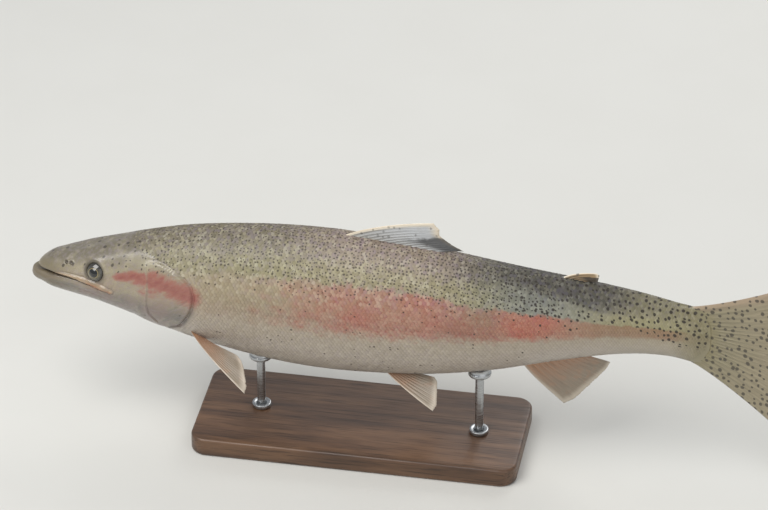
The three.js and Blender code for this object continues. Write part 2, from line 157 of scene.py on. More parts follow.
def attributeOf(tree, name):
    node = tree.nodes.new("ShaderNodeAttribute")
    node.attribute_name = name
    return node.outputs["Vector"]


def placeIn(tree):
    return tree.nodes.new("ShaderNodeTexCoord").outputs["Object"]


def axesOf(vector):
    return addNode("SeparateXYZ", [vector]).outputs[:]


def joined(x, y, z=0.0):
    return addNode("CombineXYZ", (x, y, z)).outputs[0]


def stretched(place, scale):
    return addNode("Mapping", {"Vector": place, "Scale": scale}).outputs[0]


def step(value, low, high, newLow=0.0, newHigh=1.0):
    # an eased step from newLow to newHigh as the value goes from low to high
    inputs = (value, low, high, newLow, newHigh)
    return addNode("MapRange", inputs, interpolation_type="SMOOTHSTEP").outputs[0]


def mixed(share, first, second, kind="MIX"):
    return addNode("Mix", {0: share, 6: first, 7: second}, data_type="RGBA", blend_type=kind).outputs[2]


def layered(colour, tones, rows):
    # lays one tone after another over a colour: each row is a share, and a tone's name or a colour
    for share, over in rows:
        colour = mixed(share, colour, tones[over] if isinstance(over, str) else over)
    return colour


def ramp(value, stops):
    # stops are (place, colour code)
    node = addNode("ValToRGB", [value])
    points = node.color_ramp.elements
    while len(points) < len(stops):
        points.new(0.5)
    for point, (place, code) in zip(points, stops):
        point.position = place
        point.color = tone(code)
    return node.outputs[0]


def cloud(place, scale, detail=2.0, roughness=0.5, kind="Fac"):
    inputs = {"Vector": place, "Scale": scale, "Detail": detail, "Roughness": roughness}
    return addNode("TexNoise", inputs).outputs[kind]


def cells(place, scale, randomness=1.0, **settings):
    inputs = {"Vector": place, "Scale": scale, "Randomness": randomness}
    return addNode("TexVoronoi", inputs, **settings).outputs


def newGroup(name, ins, outs):
    # ins and outs give each socket's kind
    group = bpy.data.node_groups.new(name, "ShaderNodeTree")
    for way, sockets in (("INPUT", ins), ("OUTPUT", outs)):
        for label, kind in sockets.items():
            group.interface.new_socket(name=label, in_out=way, socket_type="NodeSocket" + kind)
    return group, group.nodes.new("NodeGroupInput").outputs, group.nodes.new("NodeGroupOutput").inputs


def useGroup(group, **inputs):
    return addNode("Group", inputs, node_tree=group).outputs


def dress(shader, **values):
    for label, value in values.items():
        feed(shader.inputs[label.replace("_", " ")], value)


def newMaterial(name, **values):
    material = bpy.data.materials.new(name)
    material.use_nodes = True
    shader = material.node_tree.nodes["Principled BSDF"]
    dress(shader, **values)
    return material, material.node_tree, shader


def addBump(shader, height, distance, strength):
    bump = addNode("Bump", {"Height": height, "Distance": distance, "Strength": strength})
    feed(shader.inputs["Normal"], bump.outputs["Normal"])

# The body's form

bodyRows = {  # station: back, belly, half width, level of the widest place, roof, keel
    0: (11, 16.5, 13, -3, 2.1, 2.1),
    24: (18, 22, 19.5, -3, 2.2, 2.1),
    56: (29, 29, 26, 0, 2.3, 2),
    82: (37.5, 36.5, 31, 0, 2.2, 1.9),
    115: (48, 47.5, 36, 0, 2.1, 1.85),
    150: (57, 59, 39.5, 0, 2, 1.9),
    200: (65, 69, 42, 0, 1.95, 2),
    250: (69.5, 74.5, 43.5, 0, 1.95, 2.1),
    300: (70.5, 75, 43, 0, 1.95, 2.1),
    372: (65, 69.5, 39.5, 0, 1.95, 2),
    432: (57, 59.5, 34, 0, 1.95, 1.9),
    494: (47.5, 45, 26, 0, 1.9, 1.85),
    557: (37, 33.5, 17, 0, 1.9, 1.85),
    600: (31, 29.5, 11.5, 0, 1.9, 1.9),
    628: (30.5, 30.5, 6.6, 0, 2.1, 2.1),
    646: (32, 32, 2.3, 0, 2.4, 2.4),
}
spineTurns = {0: 1.5, 160: 1.5, 330: 2.5, 420: -1, 500: -5.5, 560: 0, 620: 14, 670: 18, 740: 16}
bodyPlaces = {
    "axisHeight": 152.0,
    "middle": 312.0,
    "snoutRound": 22.0,
    "snoutLevel": -3.0,
    "jawLead": 4.5,
    "jawReach": 70.0,
    "skinDepth": 0.45,  # how far the skin lies below the scales' tops
}
stripeRows = {  # station: upper and lower edge of the rosy band
    60: (13, -8), 110: (27, -8), 160: (32, -10), 200: (36, -12), 260: (38, -13), 320: (38, -12),
    350: (37.5, -11), 380: (34.5, -10), 415: (27.5, -9), 445: (24.5, -8), 480: (19, -7), 500: (16, -7),
    512: (13.5, -7), 536: (9, -6), 574: (6.5, -6), 640: (5, -5),
}


def ease(t):
    t = np.clip(t, 0, 1)
    return t * t * (3 - 2 * t)


def bell(distance, width):
    # 1 in the middle, fading out on both sides
    return np.exp(-(distance / width) ** 2)


def stretch(x, start, rising, end, falling):
    # 1 between two stations, easing in after the first and out before the second
    return ease((x - start) / rising) * ease((end - x) / falling)


def curveThrough(rows, places):
    # a smooth curve through rows of numbers, read at the given places
    at = np.array(sorted(rows), float)
    values = np.array([np.atleast_1d(rows[k]) for k in sorted(rows)], float)
    last = len(at) - 1
    low, high = np.maximum(np.arange(last + 1) - 1, 0), np.minimum(np.arange(last + 1) + 1, last)
    slopes = (values[high] - values[low]) / (at[high] - at[low])[:, None]
    x = np.clip(np.asarray(places, float), at[0], at[-1])
    i = np.clip(np.searchsorted(at, x) - 1, 0, last - 1)
    span = (at[i + 1] - at[i])[:, None]
    t = (x - at[i])[:, None] / span
    return (values[i] * (2 * t**3 - 3 * t**2 + 1) + slopes[i] * span * (t**3 - 2 * t**2 + t)
            + values[i + 1] * (3 * t**2 - 2 * t**3) + slopes[i + 1] * span * (t**3 - t**2))


fineStations = np.arange(-25.0, 761.0, 0.5)
bodyTable, stripeTable = [curveThrough(rows, fineStations).T for rows in (bodyRows, stripeRows)]


def readAt(u, table):
    return [np.interp(u, fineStations, column) for column in table]


def bodyAt(u):
    return readAt(u, bodyTable)


def snoutRounding(u):
    return np.sqrt(1 - (1 - np.clip(u / bodyPlaces["snoutRound"], 0, 1)) ** 2)


def bodySurface(u, angle, grow=0.0):
    # angle runs from the back over the right side to the belly and up the left side
    back, belly, half, mid, roof, keel = bodyAt(u)
    up, out = np.cos(angle), np.sin(angle)
    power = 2 / np.where(up >= 0, roof, keel)
    reach = np.where(up >= 0, back + grow - mid, mid + belly + grow)
    z = mid + np.sign(up) * reach * np.abs(up) ** power
    y = np.sign(out) * (half + grow) * np.abs(out) ** power
    level, rounding = bodyPlaces["snoutLevel"], snoutRounding(u)
    z = level + (z - level) * rounding
    y = y * rounding
    ahead = ease(1 - u / bodyPlaces["jawReach"])
    low = ease((level + 1 - z) / 5)
    onFin = ease((u - 590) / 50) * (z / 32) ** 2
    y = y * (1 - 0.7 * ease((u - 626) / 20))  # the flesh thins out on the tail fin
    return u - bodyPlaces["jawLead"] * ahead * low - 9 * onFin, y, z


spineAt = np.arange(-20.0, 761.0)
spineTurn = curveThrough(spineTurns, spineAt)[:, 0] * deg
spineX = -20 + np.concatenate([[0], np.cumsum(np.cos(spineTurn))[:-1]])
spineY = -np.concatenate([[0], np.cumsum(np.sin(spineTurn))[:-1]])


def bent(x, y, z):
    turn = np.interp(x, spineAt, spineTurn)
    alongX, alongY = [np.interp(x, spineAt, line) for line in (spineX, spineY)]
    return alongX + y * np.sin(turn), alongY + y * np.cos(turn), z


lift = bent(bodyPlaces["middle"], 0.0, -bodyPlaces["axisHeight"])


def setInPlace(spots):
    # points of the straight fish as metres in the frame
    x, y, z = np.moveaxis(spots, -1, 0)
    return (np.stack(bent(x, y, z), -1) - lift) * mm


def closedCurve(points, steps=6):
    # a smooth closed outline through side-view points
    p = np.array(points, float)
    rows = []
    for k in range(len(p)):
        a, b, c, d = p[k - 1], p[k], p[(k + 1) % len(p)], p[(k + 2) % len(p)]
        for t in np.arange(steps) / steps:
            rows.append(0.5 * (2 * b + (c - a) * t + (2 * a - 5 * b + 4 * c - d) * t**2
                               + (3 * b - a - 3 * c + d) * t**3))
    return np.array(rows)


def distanceTo(line, x, z):
    # distance to an open line of side-view points
    nearest = np.full(np.shape(x), 1e9)
    for (ax, az), (bx, bz) in zip(line[:-1], line[1:]):
        dx, dz = bx - ax, bz - az
        t = np.clip(((x - ax) * dx + (z - az) * dz) / (dx * dx + dz * dz), 0, 1)
        nearest = np.minimum(nearest, np.hypot(x - ax - t * dx, z - az - t * dz))
    return nearest


def depthInside(outline, x, z):
    # distance to a closed outline, positive inside it
    closed = np.concatenate([outline, outline[:1]])
    inside = np.zeros(np.shape(x), bool)
    for (ax, az), (bx, bz) in zip(closed[:-1], closed[1:]):
        if az != bz:
            inside ^= ((az > z) != (bz > z)) & (x < ax + (z - az) * (bx - ax) / (bz - az))
    return np.where(inside, 1, -1) * distanceTo(closed, x, z)


headForm = {
    "mouthLine": {0: -2.6, 14: 0.4, 30: 0.9, 44: 0.0, 60: -3.2, 76: -7.0, 84: -9.2},
    "mouthCorner": 77.0,
    "gapeFront": 3.4,
    "gapeRear": 0.7,
    "pocketWidth": 0.35,  # share of the width left between the mouth's two inner walls
    "pocketStart": 9.5,  # how far the pocket's front end stands back
    "lipInset": 0.7,
    "hookAt": (5.0, 0.0, -8.6),  # the knob at the lower jaw's tip
    "hookSize": (10.5, 11.0, 7.2),
    "hookRise": 1.7,
    "maxillaProud": 1.1,
    "gillProud": 1.3,
    "gillSlit": 1.3,
    "cheekPlate": 0.55,
    "jawGroove": 0.45,
    "chinFold": 0.9,
    "eyeAt": 62.0,
    "eyeLevel": 12.3,
    "eyeRadius": 9.6,
    "eyeDepth": 6.5,
    "eyeSunk": 4.0,
    "socketDepth": 7.5,
    "browRise": 0.9,
    "nostrils": ((32.5, 14.2), (37.5, 14.8)),
    "nostrilDepth": 1.9,
    "pores": [(80 + 6 * k, 20 - 0.5 * k) for k in range(5)],  # behind the eye
    "jawPores": [18 + 9.5 * k for k in range(7)],
}
gillOutline = closedCurve([
    (110, 31), (126, 33), (140, 28), (155, 18.5), (159, 5), (155, -12), (141, -33), (119, -42), (101, -39),
    (95, -24), (97, -2), (101, 18),
])
maxillaOutline = closedCurve([
    (9, 0.9), (13, 2.0), (28, 3.9), (44, 4.5), (60, 2.7), (74, -1.1), (80.5, -4.8), (74.5, -7.5), (60, -4.5),
    (44, -0.6), (28, 1.0), (13, 0.8),
])
cheekLine = [(113, 27), (115.5, 18), (115, 4), (113.5, -10), (115, -22), (122, -33)]  # preopercle's rear edge
lowerPlateLine = [(116, -17), (128, -16), (142, -9), (156, 3)]  # between the gill cover's two plates
mouthLine = curveThrough(headForm["mouthLine"], fineStations).T


def mouthLevel(u):
    return readAt(u, mouthLine)[0]


def eyeSeat():
    # the eye's centre on the right side, and the way it faces
    at = headForm["eyeAt"]
    back, belly, half, mid, roof, keel = bodyAt(at)
    angle = math.acos(((headForm["eyeLevel"] - mid) / (back - mid)) ** (roof / 2))
    near = ((0, 0), (1, 0), (0, 0.01))
    here, behind, below = [np.array(bodySurface(at + u, angle + turn)) for u, turn in near]
    out = np.cross(below - here, behind - here)
    out = out / np.linalg.norm(out)
    return here, out if out[1] > 0 else -out


def gillRise(x, z, side):
    form = headForm
    # the cover fades into the cheek in front and ends in a crisp edge behind
    inside = depthInside(gillOutline, x, z)
    fade = 1.0 + 15 * ease((124 - x) / 26) * ease((z + 46) / 16)
    behind = ease((x - 112) / 20)
    slit = bell(inside + 1.3, 1.1) * (inside < 0) * np.maximum(behind, 0.55 * ease((-z - 28) / 8))
    rise = form["gillProud"] * ease(inside / fade + 0.15) - form["gillSlit"] * slit
    rise += 0.35 * bell(inside - 2.2, 1.4) * behind
    # its plates
    edge = distanceTo(cheekLine, x, z)
    line = np.array(cheekLine[::-1])
    front = x < np.interp(z, line[:, 1], line[:, 0])
    rise += np.where(front, form["cheekPlate"] * bell(edge, 3.2), -0.6 * bell(edge - 0.7, 0.9))
    rise -= 0.4 * bell(distanceTo(lowerPlateLine, x, z), 0.9)
    ribs = np.sin(np.arctan2(z - 16, x - 112) * 26 + np.hypot(x - 112, z - 16) * 0.1)
    rise += 0.07 * ribs * ease(inside / 4) * ease((x - 118) / 8) * ease((z + 20) / 12)
    # rays below it
    rays = 0.5 + 0.5 * np.cos((inside + 2) * 2 * math.pi / 3.4)
    below = ease((-inside - 1.5) / 2) * ease((inside + 19) / 4) * stretch(x, 84, 14, 150, 18)
    return side * rise + 0.55 * rays * below * ease((-z - 30) / 8)


def jawRise(x, z):
    # the upper jaw's blade, with a crease above it and a groove along it
    above = z - mouthLevel(x)
    blade = depthInside(maxillaOutline, x, z)
    crease = (blade < 0) * (above > 1) * bell(blade + 0.9, 0.9) * ease((x - 20) / 16)
    groove = bell(above - 3.1, 0.9) * ease(blade / 1.5) * ease((x - 36) / 14)
    proud = headForm["maxillaProud"] * ease(blade / 1.3 + 0.1) * ease((x - 10) / 14)
    return proud - 0.75 * crease - 0.25 * groove


def eyeRise(x, z):
    # cheek bones round the eye, its brow and its socket
    form = headForm
    ex, ez = x - form["eyeAt"], z - form["eyeLevel"]
    r, turn = np.hypot(ex, ez), np.arctan2(ez, ex)
    below = -np.sin(turn)
    seams = bell(np.cos(turn * 5 + 0.6) - 1, 0.045) * ease((r - 13) / 3) * ease((24 - r) / 4) * (ez < 4)
    return (
        0.45 * bell(r - 10.2, 1.5)
        - 0.55 * bell(r - 13.4, 1.6) * (0.35 + 0.65 * ease((0.4 + below) / 1.2))
        + 0.35 * bell(r - 17.0, 2.6) * ease(below * 1.4)
        - 0.35 * bell(r - 21.5, 1.3) * ease((below + 0.5) * 1.2) * ease((x - 50) / 10)
        - 0.3 * seams
        + form["browRise"] * bell(ex + 1, 11) * bell(ez - 11.5, 2.6)
        - form["socketDepth"] * ease((9.3 - r) / 3.9)
    )


def holesRise(x, z):
    # nostrils with a flap between them, then pores
    form = headForm
    rise = 0
    for place in form["nostrils"]:
        hole = np.hypot((x - place[0]) / 1.25, z - place[1])
        rise = rise - form["nostrilDepth"] * ease((1.75 - hole) / 1.3) + 0.4 * bell(hole - 2.1, 0.6)
    pores = [(u, mouthLevel(u) - 13, 0.95, 0.5) for u in form["jawPores"]]
    pores += [(u, v, 1.0, 0.45) for u, v in form["pores"]]
    for u, v, radius, depth in pores:
        rise = rise - depth * ease((radius - np.hypot(x - u, z - v)) / 0.7)
    return rise


def headRise(u, x, y, z):
    # how far the head's skin stands above the plain body form, in millimetres
    form = headForm
    back, belly, half = bodyAt(u)[:3]
    side = ease((np.abs(y) - 4) / 5)
    rise = gillRise(x, z, side) + side * (jawRise(x, z) + eyeRise(x, z) + holesRise(x, z))
    # skull roof: two low ridges and a shallow trough between the eyes
    rise += 0.5 * ease((z - 0.72 * back) / 4) * (
        bell(np.abs(y) - 9, 3.2) * stretch(x, 22, 14, 92, 20)
        - bell(y, 4.5) * stretch(x, 30, 14, 84, 20)
        + bell(x - 12, 9) * bell(y, 7)
    )
    # lower jaw: lip, the groove behind the chin and the fold between the jaw's halves
    drop = mouthLevel(x) - z
    rise += 0.5 * bell(drop - 4.4, 2.0) * ease((74 - x) / 20)
    rise -= form["jawGroove"] * bell(drop - 8.6, 1.3) * stretch(x, 12, 12, 80, 16)
    fold = form["chinFold"] * bell(np.abs(y) - 0.36 * half, 1.7) * stretch(x, 14, 12, 112, 16)
    pleats = 0.35 * np.cos(y * 1.5) * bell(y, 5) * stretch(x, 20, 10, 118, 16)
    return rise - ease((-z - 0.6 * belly) / 4) * (fold + pleats)


napeLine = {  # height: the station where the scales begin
    -60: 124, -48: 126, -42: 133, -33: 146, -12: 158.5, 5: 162, 18: 158, 28: 144, 34: 133, 36: 121, 38: 106,
    40: 92, 60: 88,
}


def scaledShare(u, z):
    # 0 on the bare head, 1 where the body wears scales
    first = np.interp(z, list(napeLine), list(napeLine.values()))
    return ease((u - first + 0.5) / 5)


# Plans that the markings follow

redBand = np.array([  # station, level and half height of the red on the cheek and the gill cover
    (78, 12, 3.4), (90, 14.2, 4.8), (101, 16, 6.4), (111, 16.2, 8.8), (121, 17, 10.2), (131, 15, 10.4),
    (142, 11.8, 11.8), (152, 9, 12.5), (162, 6.5, 11.5), (176, 7, 10),
])


def markingPlans(u, spots, ridgeArc):
    x, y, z = np.moveaxis(spots, -1, 0)
    # body plan: centimetres back, centimetres down from the ridge, share of the height
    back, belly = bodyAt(u)[:2]
    plan = [x / 10, ridgeArc / 10, z / np.where(z > 0, back, belly)]
    upper, lower = readAt(u, stripeTable)
    band = (z - (upper + lower) / 2) / ((upper - lower) / 2)
    zones = [band, 1 - scaledShare(u, z), np.zeros(np.shape(x))]
    # rosy band over the cheek and the gill cover
    middle, reach = [np.interp(x, redBand[:, 0], column) for column in redBand.T[1:]]
    red = 1 - np.abs((z - middle) / reach) ** 1.6
    red = (np.clip(red, -1, 1) + 1) * stretch(x, 75, 9, 176, 16) - 1
    red = np.maximum(red, bell(x - 120, 17) * bell(z - 5, 7.5) * 1.45 - 1)
    red = red - 0.5 * bell(distanceTo(cheekLine[:3], x, z), 1.4)
    # painted highlight: a pale patch on the gill cover's upper part, where it catches the light; then a pale
    # line along the cheek plate's edge
    gillHighlight = np.exp(-np.hypot((x - 114) / 19, (z - 30.5 + 0.05 * (x - 114)) / 4.4) ** 3)
    paleLineAndHighlight = np.maximum(gillHighlight, 0.22 * bell(distanceTo(cheekLine[:4], x, z), 1.1))
    heads = [red, paleLineAndHighlight * ease((170 - x) / 10), ease((44 - x) / 34)]
    blade = ease(depthInside(maxillaOutline, x, z) / 1.2 + 0.3) * ease((np.abs(y) - 3) / 4)
    blade = blade * (1 + ease((mouthLevel(x) + 4.5 - z) / 3) * ease((x - 44) / 16))
    # painted shade: a dark ring at the eye socket's edge, and dark inside the nostrils
    hollowShade = bell(np.hypot(x - headForm["eyeAt"], z - headForm["eyeLevel"]) - 9.2, 1.6)
    for u, v in headForm["nostrils"]:
        hollowShade = np.maximum(hollowShade, ease((2.0 - np.hypot(x - u, z - v)) / 0.8))
    jaws = [blade, np.zeros(np.shape(x)), hollowShade * ease((np.abs(y) - 4) / 4)]
    layers = {"bodyPlan": plan, "bodyZones": zones, "headTones": heads, "jawTones": jaws}
    return {name: np.stack(parts, -1) for name, parts in layers.items()}


# Meshes from grids of points


def meshOf(bm, name):
    mesh = bpy.data.meshes.new(name)
    bm.to_mesh(mesh)
    bm.free()
    return mesh


def readAll(items, label, width, kind):
    values = np.empty(len(items) * width, kind)
    items.foreach_get(label, values)
    return values.reshape(-1, width)


def setCorners(mesh, spots):
    mesh.vertices.foreach_set("co", setInPlace(spots).astype(np.float32).ravel())


def storeVectors(mesh, layers):
    for name, values in layers.items():
        layer = mesh.attributes.new(name, "FLOAT_VECTOR", "POINT")
        layer.data.foreach_set("vector", np.ascontiguousarray(values, np.float32).ravel())


def storeBake(mesh, spread):
    # spread has each vertex's place on the unwrapped piece
    vertex = readAll(mesh.loops, "vertex_index", 1, np.int32)[:, 0]
    layer = mesh.uv_layers.new(name="OFBake")
    layer.uv.foreach_set("vector", spread[vertex].astype(np.float32).ravel())


def turnOutward(mesh, weld=None):
    # merges doubles, then makes every face point out of the closed shape
    bm = bmesh.new()
    bm.from_mesh(mesh)
    if weld:
        bmesh.ops.remove_doubles(bm, verts=bm.verts, dist=weld)
    bmesh.ops.recalc_face_normals(bm, faces=bm.faces)
    if bm.calc_volume(signed=True) < 0:
        bmesh.ops.reverse_faces(bm, faces=bm.faces)
    bm.to_mesh(mesh)
    bm.free()


def addObject(name, mesh, material):
    piece = bpy.data.objects.new(name, mesh)
    bpy.context.collection.objects.link(piece)
    mesh.materials.append(material)
    mesh.shade_smooth()
    return piece


def gridNormals(spots):
    # for a grid of points over the body: which way is out
    normals = np.cross(np.gradient(spots, axis=0), np.gradient(spots, axis=1))
    normals /= np.maximum(np.linalg.norm(normals, axis=-1, keepdims=True), 1e-9)
    outward = np.sum(normals * spots * (0, 1, 1), -1)
    return normals * np.where(outward.mean() < 0, -1, 1)


skinGrid = {
    "around": 116,  # rows of faces from the back to the belly, on each side
    "aboveMouth": 62,
    "noseRings": 34,
    "headRings": 236,
    "bodyRings": 148,
    "headEnd": 172.0,
    "gillAt": 159.0,
    "weld": 2e-6,
}


def skinStations():
    grid, snout, last = skinGrid, bodyPlaces["snoutRound"], max(bodyRows)
    nose = snout * (1 - np.cos(np.linspace(0, 90, grid["noseRings"] + 1) * deg))
    head = np.linspace(snout, grid["headEnd"], grid["headRings"] + 1)[1:]
    t = np.linspace(0, 1, grid["bodyRings"] + 1)[1:]
    body = grid["headEnd"] + (last - grid["headEnd"]) * (0.22 * t + 0.78 * t**1.6)
    return np.concatenate([nose, head, body])


def skinRows(u):
    # angles from the back to the belly: one row runs along the mouth
    back, belly, half, mid, roof, keel = bodyAt(u)
    flat = bodyPlaces["snoutLevel"]
    level = flat + (mouthLevel(np.minimum(u, 80)) - flat) / np.maximum(snoutRounding(u), 0.2)
    rest = 100 * deg
    below = np.clip((mid - level) / (mid + belly), 0, 0.9) ** (keel / 2)
    over = np.clip((level - mid) / (back - mid), 0, 0.9) ** (roof / 2)
    atMouth = math.pi / 2 + np.arcsin(below) - np.arcsin(over)
    atMouth = rest + (atMouth - rest) * ease((200 - u) / 110)
    above, total = skinGrid["aboveMouth"], skinGrid["around"]
    q = np.arange(above + 1) / above
    p = np.arange(1, total - above + 1) / (total - above)
    upper = atMouth * (1 - (0.42 * q + 0.58 * q * q))[::-1]
    lower = atMouth + (math.pi - atMouth) * (0.42 * p + 0.58 * p * p)
    return np.concatenate([upper, lower])


def leaned(base, z):
    # stations lean with the gill cover's rear edge, so that its step is crisp
    at = skinGrid["gillAt"]
    rear = np.interp(z, [-46, -33, -12, 5, 18.5, 28, 40], [at, 141, 155, at, 155, 141, 150])
    rear = np.where(np.abs(z) > 60, at, rear)
    near = np.where(base < at, ease((base - 112) / 47), ease((214 - base) / 55))
    return base + (rear - at) * near


def openMouth(base, spots, lips, drop):
    # the lower jaw's tip hooks up, then the gape is pushed in to make a pocket
    form = headForm
    gapes = [form["gapeFront"], form["gapeFront"], 1.0, form["gapeRear"]]
    gape = np.interp(base, [0, 10, 46, form["mouthCorner"]], gapes) / 2
    reach = ease((form["mouthCorner"] + 1 - base) / 3)
    inMouth = ease((gape + 0.3 - np.abs(drop)) / 0.6) * reach
    lip = bell(np.abs(drop) - gape, 0.6 + gape * 0.5) * reach
    spots = spots - lips * (form["lipInset"] * lip)[..., None]
    chin = ease(1 - base / 14) * ease((-drop - gape * 0.6) / 1.2) * ease((drop + 14) / 8)
    spots[..., 2] += form["hookRise"] * chin
    size = np.array(form["hookSize"])
    knob = (spots - form["hookAt"]) / size
    out = np.maximum(np.linalg.norm(knob, axis=-1), 0.2)
    grown = (out**7 + 1) ** (1 / 7) / out - 1  # a soft join with the jaw
    pushed = ease((-drop - gape) / 1.2) * (1 - inMouth) * ease((40 - base) / 14)
    spots = spots + (pushed * grown)[..., None] * knob * size
    inner = spots.copy()
    inner[..., 1] *= 1 - (1 - form["pocketWidth"]) * np.interp(base, [0, 40, 77], [1.0, 0.75, 0.12])
    inner[..., 0] += form["pocketStart"] * (1 - np.clip(base / bodyPlaces["snoutRound"], 0, 1))
    # painted shade: the mouth's inside and the lips beside the gape are darkened
    mouthShade = np.maximum(inMouth, 0.45 * lip * ease((base - 8) / 10))
    return spots + (inner - spots) * inMouth[..., None], mouthShade


def skinForm():
    # every corner of the skin as arrays over stations and angles
    stations = skinStations()
    half = np.array([skinRows(u) for u in stations])
    angles = np.concatenate([half[:, ::-1] * -1, half[:, 1:]], 1)  # belly, left, back, right, belly
    base = np.repeat(stations[:, None], angles.shape[1], 1)
    z = bodySurface(base, angles)[2]
    base = leaned(base, z)
    spots = np.stack(bodySurface(base, angles, -bodyPlaces["skinDepth"] * scaledShare(base, z)), -1)
    normals = gridNormals(spots)
    x, y, z = np.moveaxis(spots, -1, 0)
    # arc from the ridge, for the markings
    hops = np.linalg.norm(np.diff(spots, axis=1), axis=-1)
    arc = np.concatenate([np.zeros((len(stations), 1)), np.cumsum(hops, 1)], 1)
    middle = angles.shape[1] // 2
    plans = markingPlans(base, spots, arc - arc[:, middle:middle + 1])
    rise = np.where(base < 185, headRise(base, x, y, z), 0) * ease((base - 1) / 6)
    drop = z - mouthLevel(base)
    spots, plans["jawTones"][..., 1] = openMouth(base, spots + normals * rise[..., None], normals, drop)
    return spots, plans


def buildSkin(material):
    spots, plans = skinForm()
    rings, rows = spots.shape[0] - 1, spots.shape[1] - 1
    spots[-1, :, 1] = 0  # closes the rear end inside the tail fin's root
    spots[:, [0, -1], 1] = 0  # closes the seam along the belly
    bm = bmesh.new()
    bmesh.ops.create_grid(bm, x_segments=rings, y_segments=rows, size=1)
    mesh = meshOf(bm, "skin")
    flat = readAll(mesh.vertices, "co", 3, np.float32)
    i, j = [np.rint((flat[:, k] + 1) / 2 * count).astype(int) for k, count in enumerate((rings, rows))]
    setCorners(mesh, spots[i, j])
    storeVectors(mesh, {name: values[i, j] for name, values in plans.items()})
    storeBake(mesh, 0.01 + 0.98 * np.stack([i / rings, j / rows], -1))
    turnOutward(mesh, skinGrid["weld"])
    return addObject("skin", mesh, material)


scaleSizes = {
    "along": 3.6,
    "rowGap": 3.15,
    "tailSize": 0.74,  # of the size in the middle
    "napeSize": 0.82,
    "thick": 0.12,
    "frontSink": 0.24,
    "rearLift": 0.24,
    "crown": 0.05,
    "crownAt": 0.45,
    "overlap": (1.02, 1.04),  # how much larger than its place a scale is, along and across
    "start": 84.0,
    "end": 640,
    "split": 330.0,  # station where the front piece of the coat ends
    "bakeLength": 560,
    "bakeEdge": 0.012,
    "bakePatch": 0.003,  # a scale's share of the unwrapped skin
    "seed": 11,
}
scaleSpread = {  # how far single scales differ
    "size": (0.96, 1.04),
    "turn": (-0.05, 0.05),
    "rise": (-0.03, 0.03),
    "nod": (-0.035, 0.045),
    "roll": (-0.05, 0.05),
}
scaleOutline = np.array([  # back from the root and across, as shares of the two spacings
    (-0.38, -0.30), (-0.38, 0.30), (0.08, 0.68), (0.56, 0.72), (0.94, 0.52), (1.15, 0.19),
    (1.15, -0.19), (0.94, -0.52), (0.56, -0.72), (0.08, -0.68),
])
tableStations = np.arange(80.0, 650.0, 2.0)
tableArcs = np.arange(-125.0, 126.0, 1.0)


def sideTable(side):
    # the skin on one side, laid out by station and by arc from the lateral line
    table = np.zeros((len(tableStations), len(tableArcs), 3))
    tops, lows = np.zeros((2, len(tableStations)))
    turns = np.linspace(-24, 204, 400) * deg
    for k, u in enumerate(tableStations):
        x, y, z = bodySurface(np.full(turns.shape, u), turns, -bodyPlaces["skinDepth"])
        arc = -np.concatenate([[0], np.cumsum(np.hypot(np.diff(y), np.diff(z)))])
        arc -= np.interp(90 * deg, turns, arc)
        tops[k], lows[k] = np.interp([0, 180 * deg], turns, arc)
        for axis, values in enumerate((x, y * side, z)):
            table[k, :, axis] = np.interp(tableArcs, arc[::-1], values[::-1])
    return table, tops, lows


def readTable(table, u, arc):
    a = np.clip((u - tableStations[0]) / 2, 0, len(tableStations) - 1.001)
    b = np.clip(arc - tableArcs[0], 0, len(tableArcs) - 1.001)
    i, j = a.astype(int), b.astype(int)
    s, t = (a - i)[..., None], (b - j)[..., None]
    return ((table[i, j] * (1 - s) + table[i + 1, j] * s) * (1 - t)
            + (table[i, j + 1] * (1 - s) + table[i + 1, j + 1] * s) * t)


def sizeAt(u):
    return np.interp(u, [90, 170, 420, 600], [scaleSizes["napeSize"], 1, 1, scaleSizes["tailSize"]])


def scaleRoots(tops, lows):
    # where each scale grows: rows a fixed arc apart, each second row half a scale on
    u, places = scaleSizes["start"], []
    while u < scaleSizes["end"]:
        places.append(u)
        u += scaleSizes["along"] * 0.5 * sizeAt(u)
    found = []
    for k in range(-32, 33):
        for u in places[k % 2::2]:
            arc = k * scaleSizes["rowGap"] * float(sizeAt(u))
            top, low = [np.interp(u, tableStations, ends) for ends in (tops, lows)]
            if low + 0.3 < arc < top + 0.4:
                found.append((u, arc, k))
    return np.array(found)


finFeet = (  # first and last station, side and half width of each middle fin's foot
    (290, 378, 1, 2.2), (495, 518, 1, 2.4), (460, 520, -1, 2.2),
)


def wearsScale(u, y, z):
    # neither on the bare head, nor under a fin, nor past the tail's root
    worn = (scaledShare(u + 0.8, z) > 0.35) & (u < 637 - 14 * (z / 31) ** 2)
    for first, last, side, wide in finFeet:
        worn &= ~((u > first) & (u < last) & (np.sign(z) == side) & (np.abs(y) < wide))
    return worn


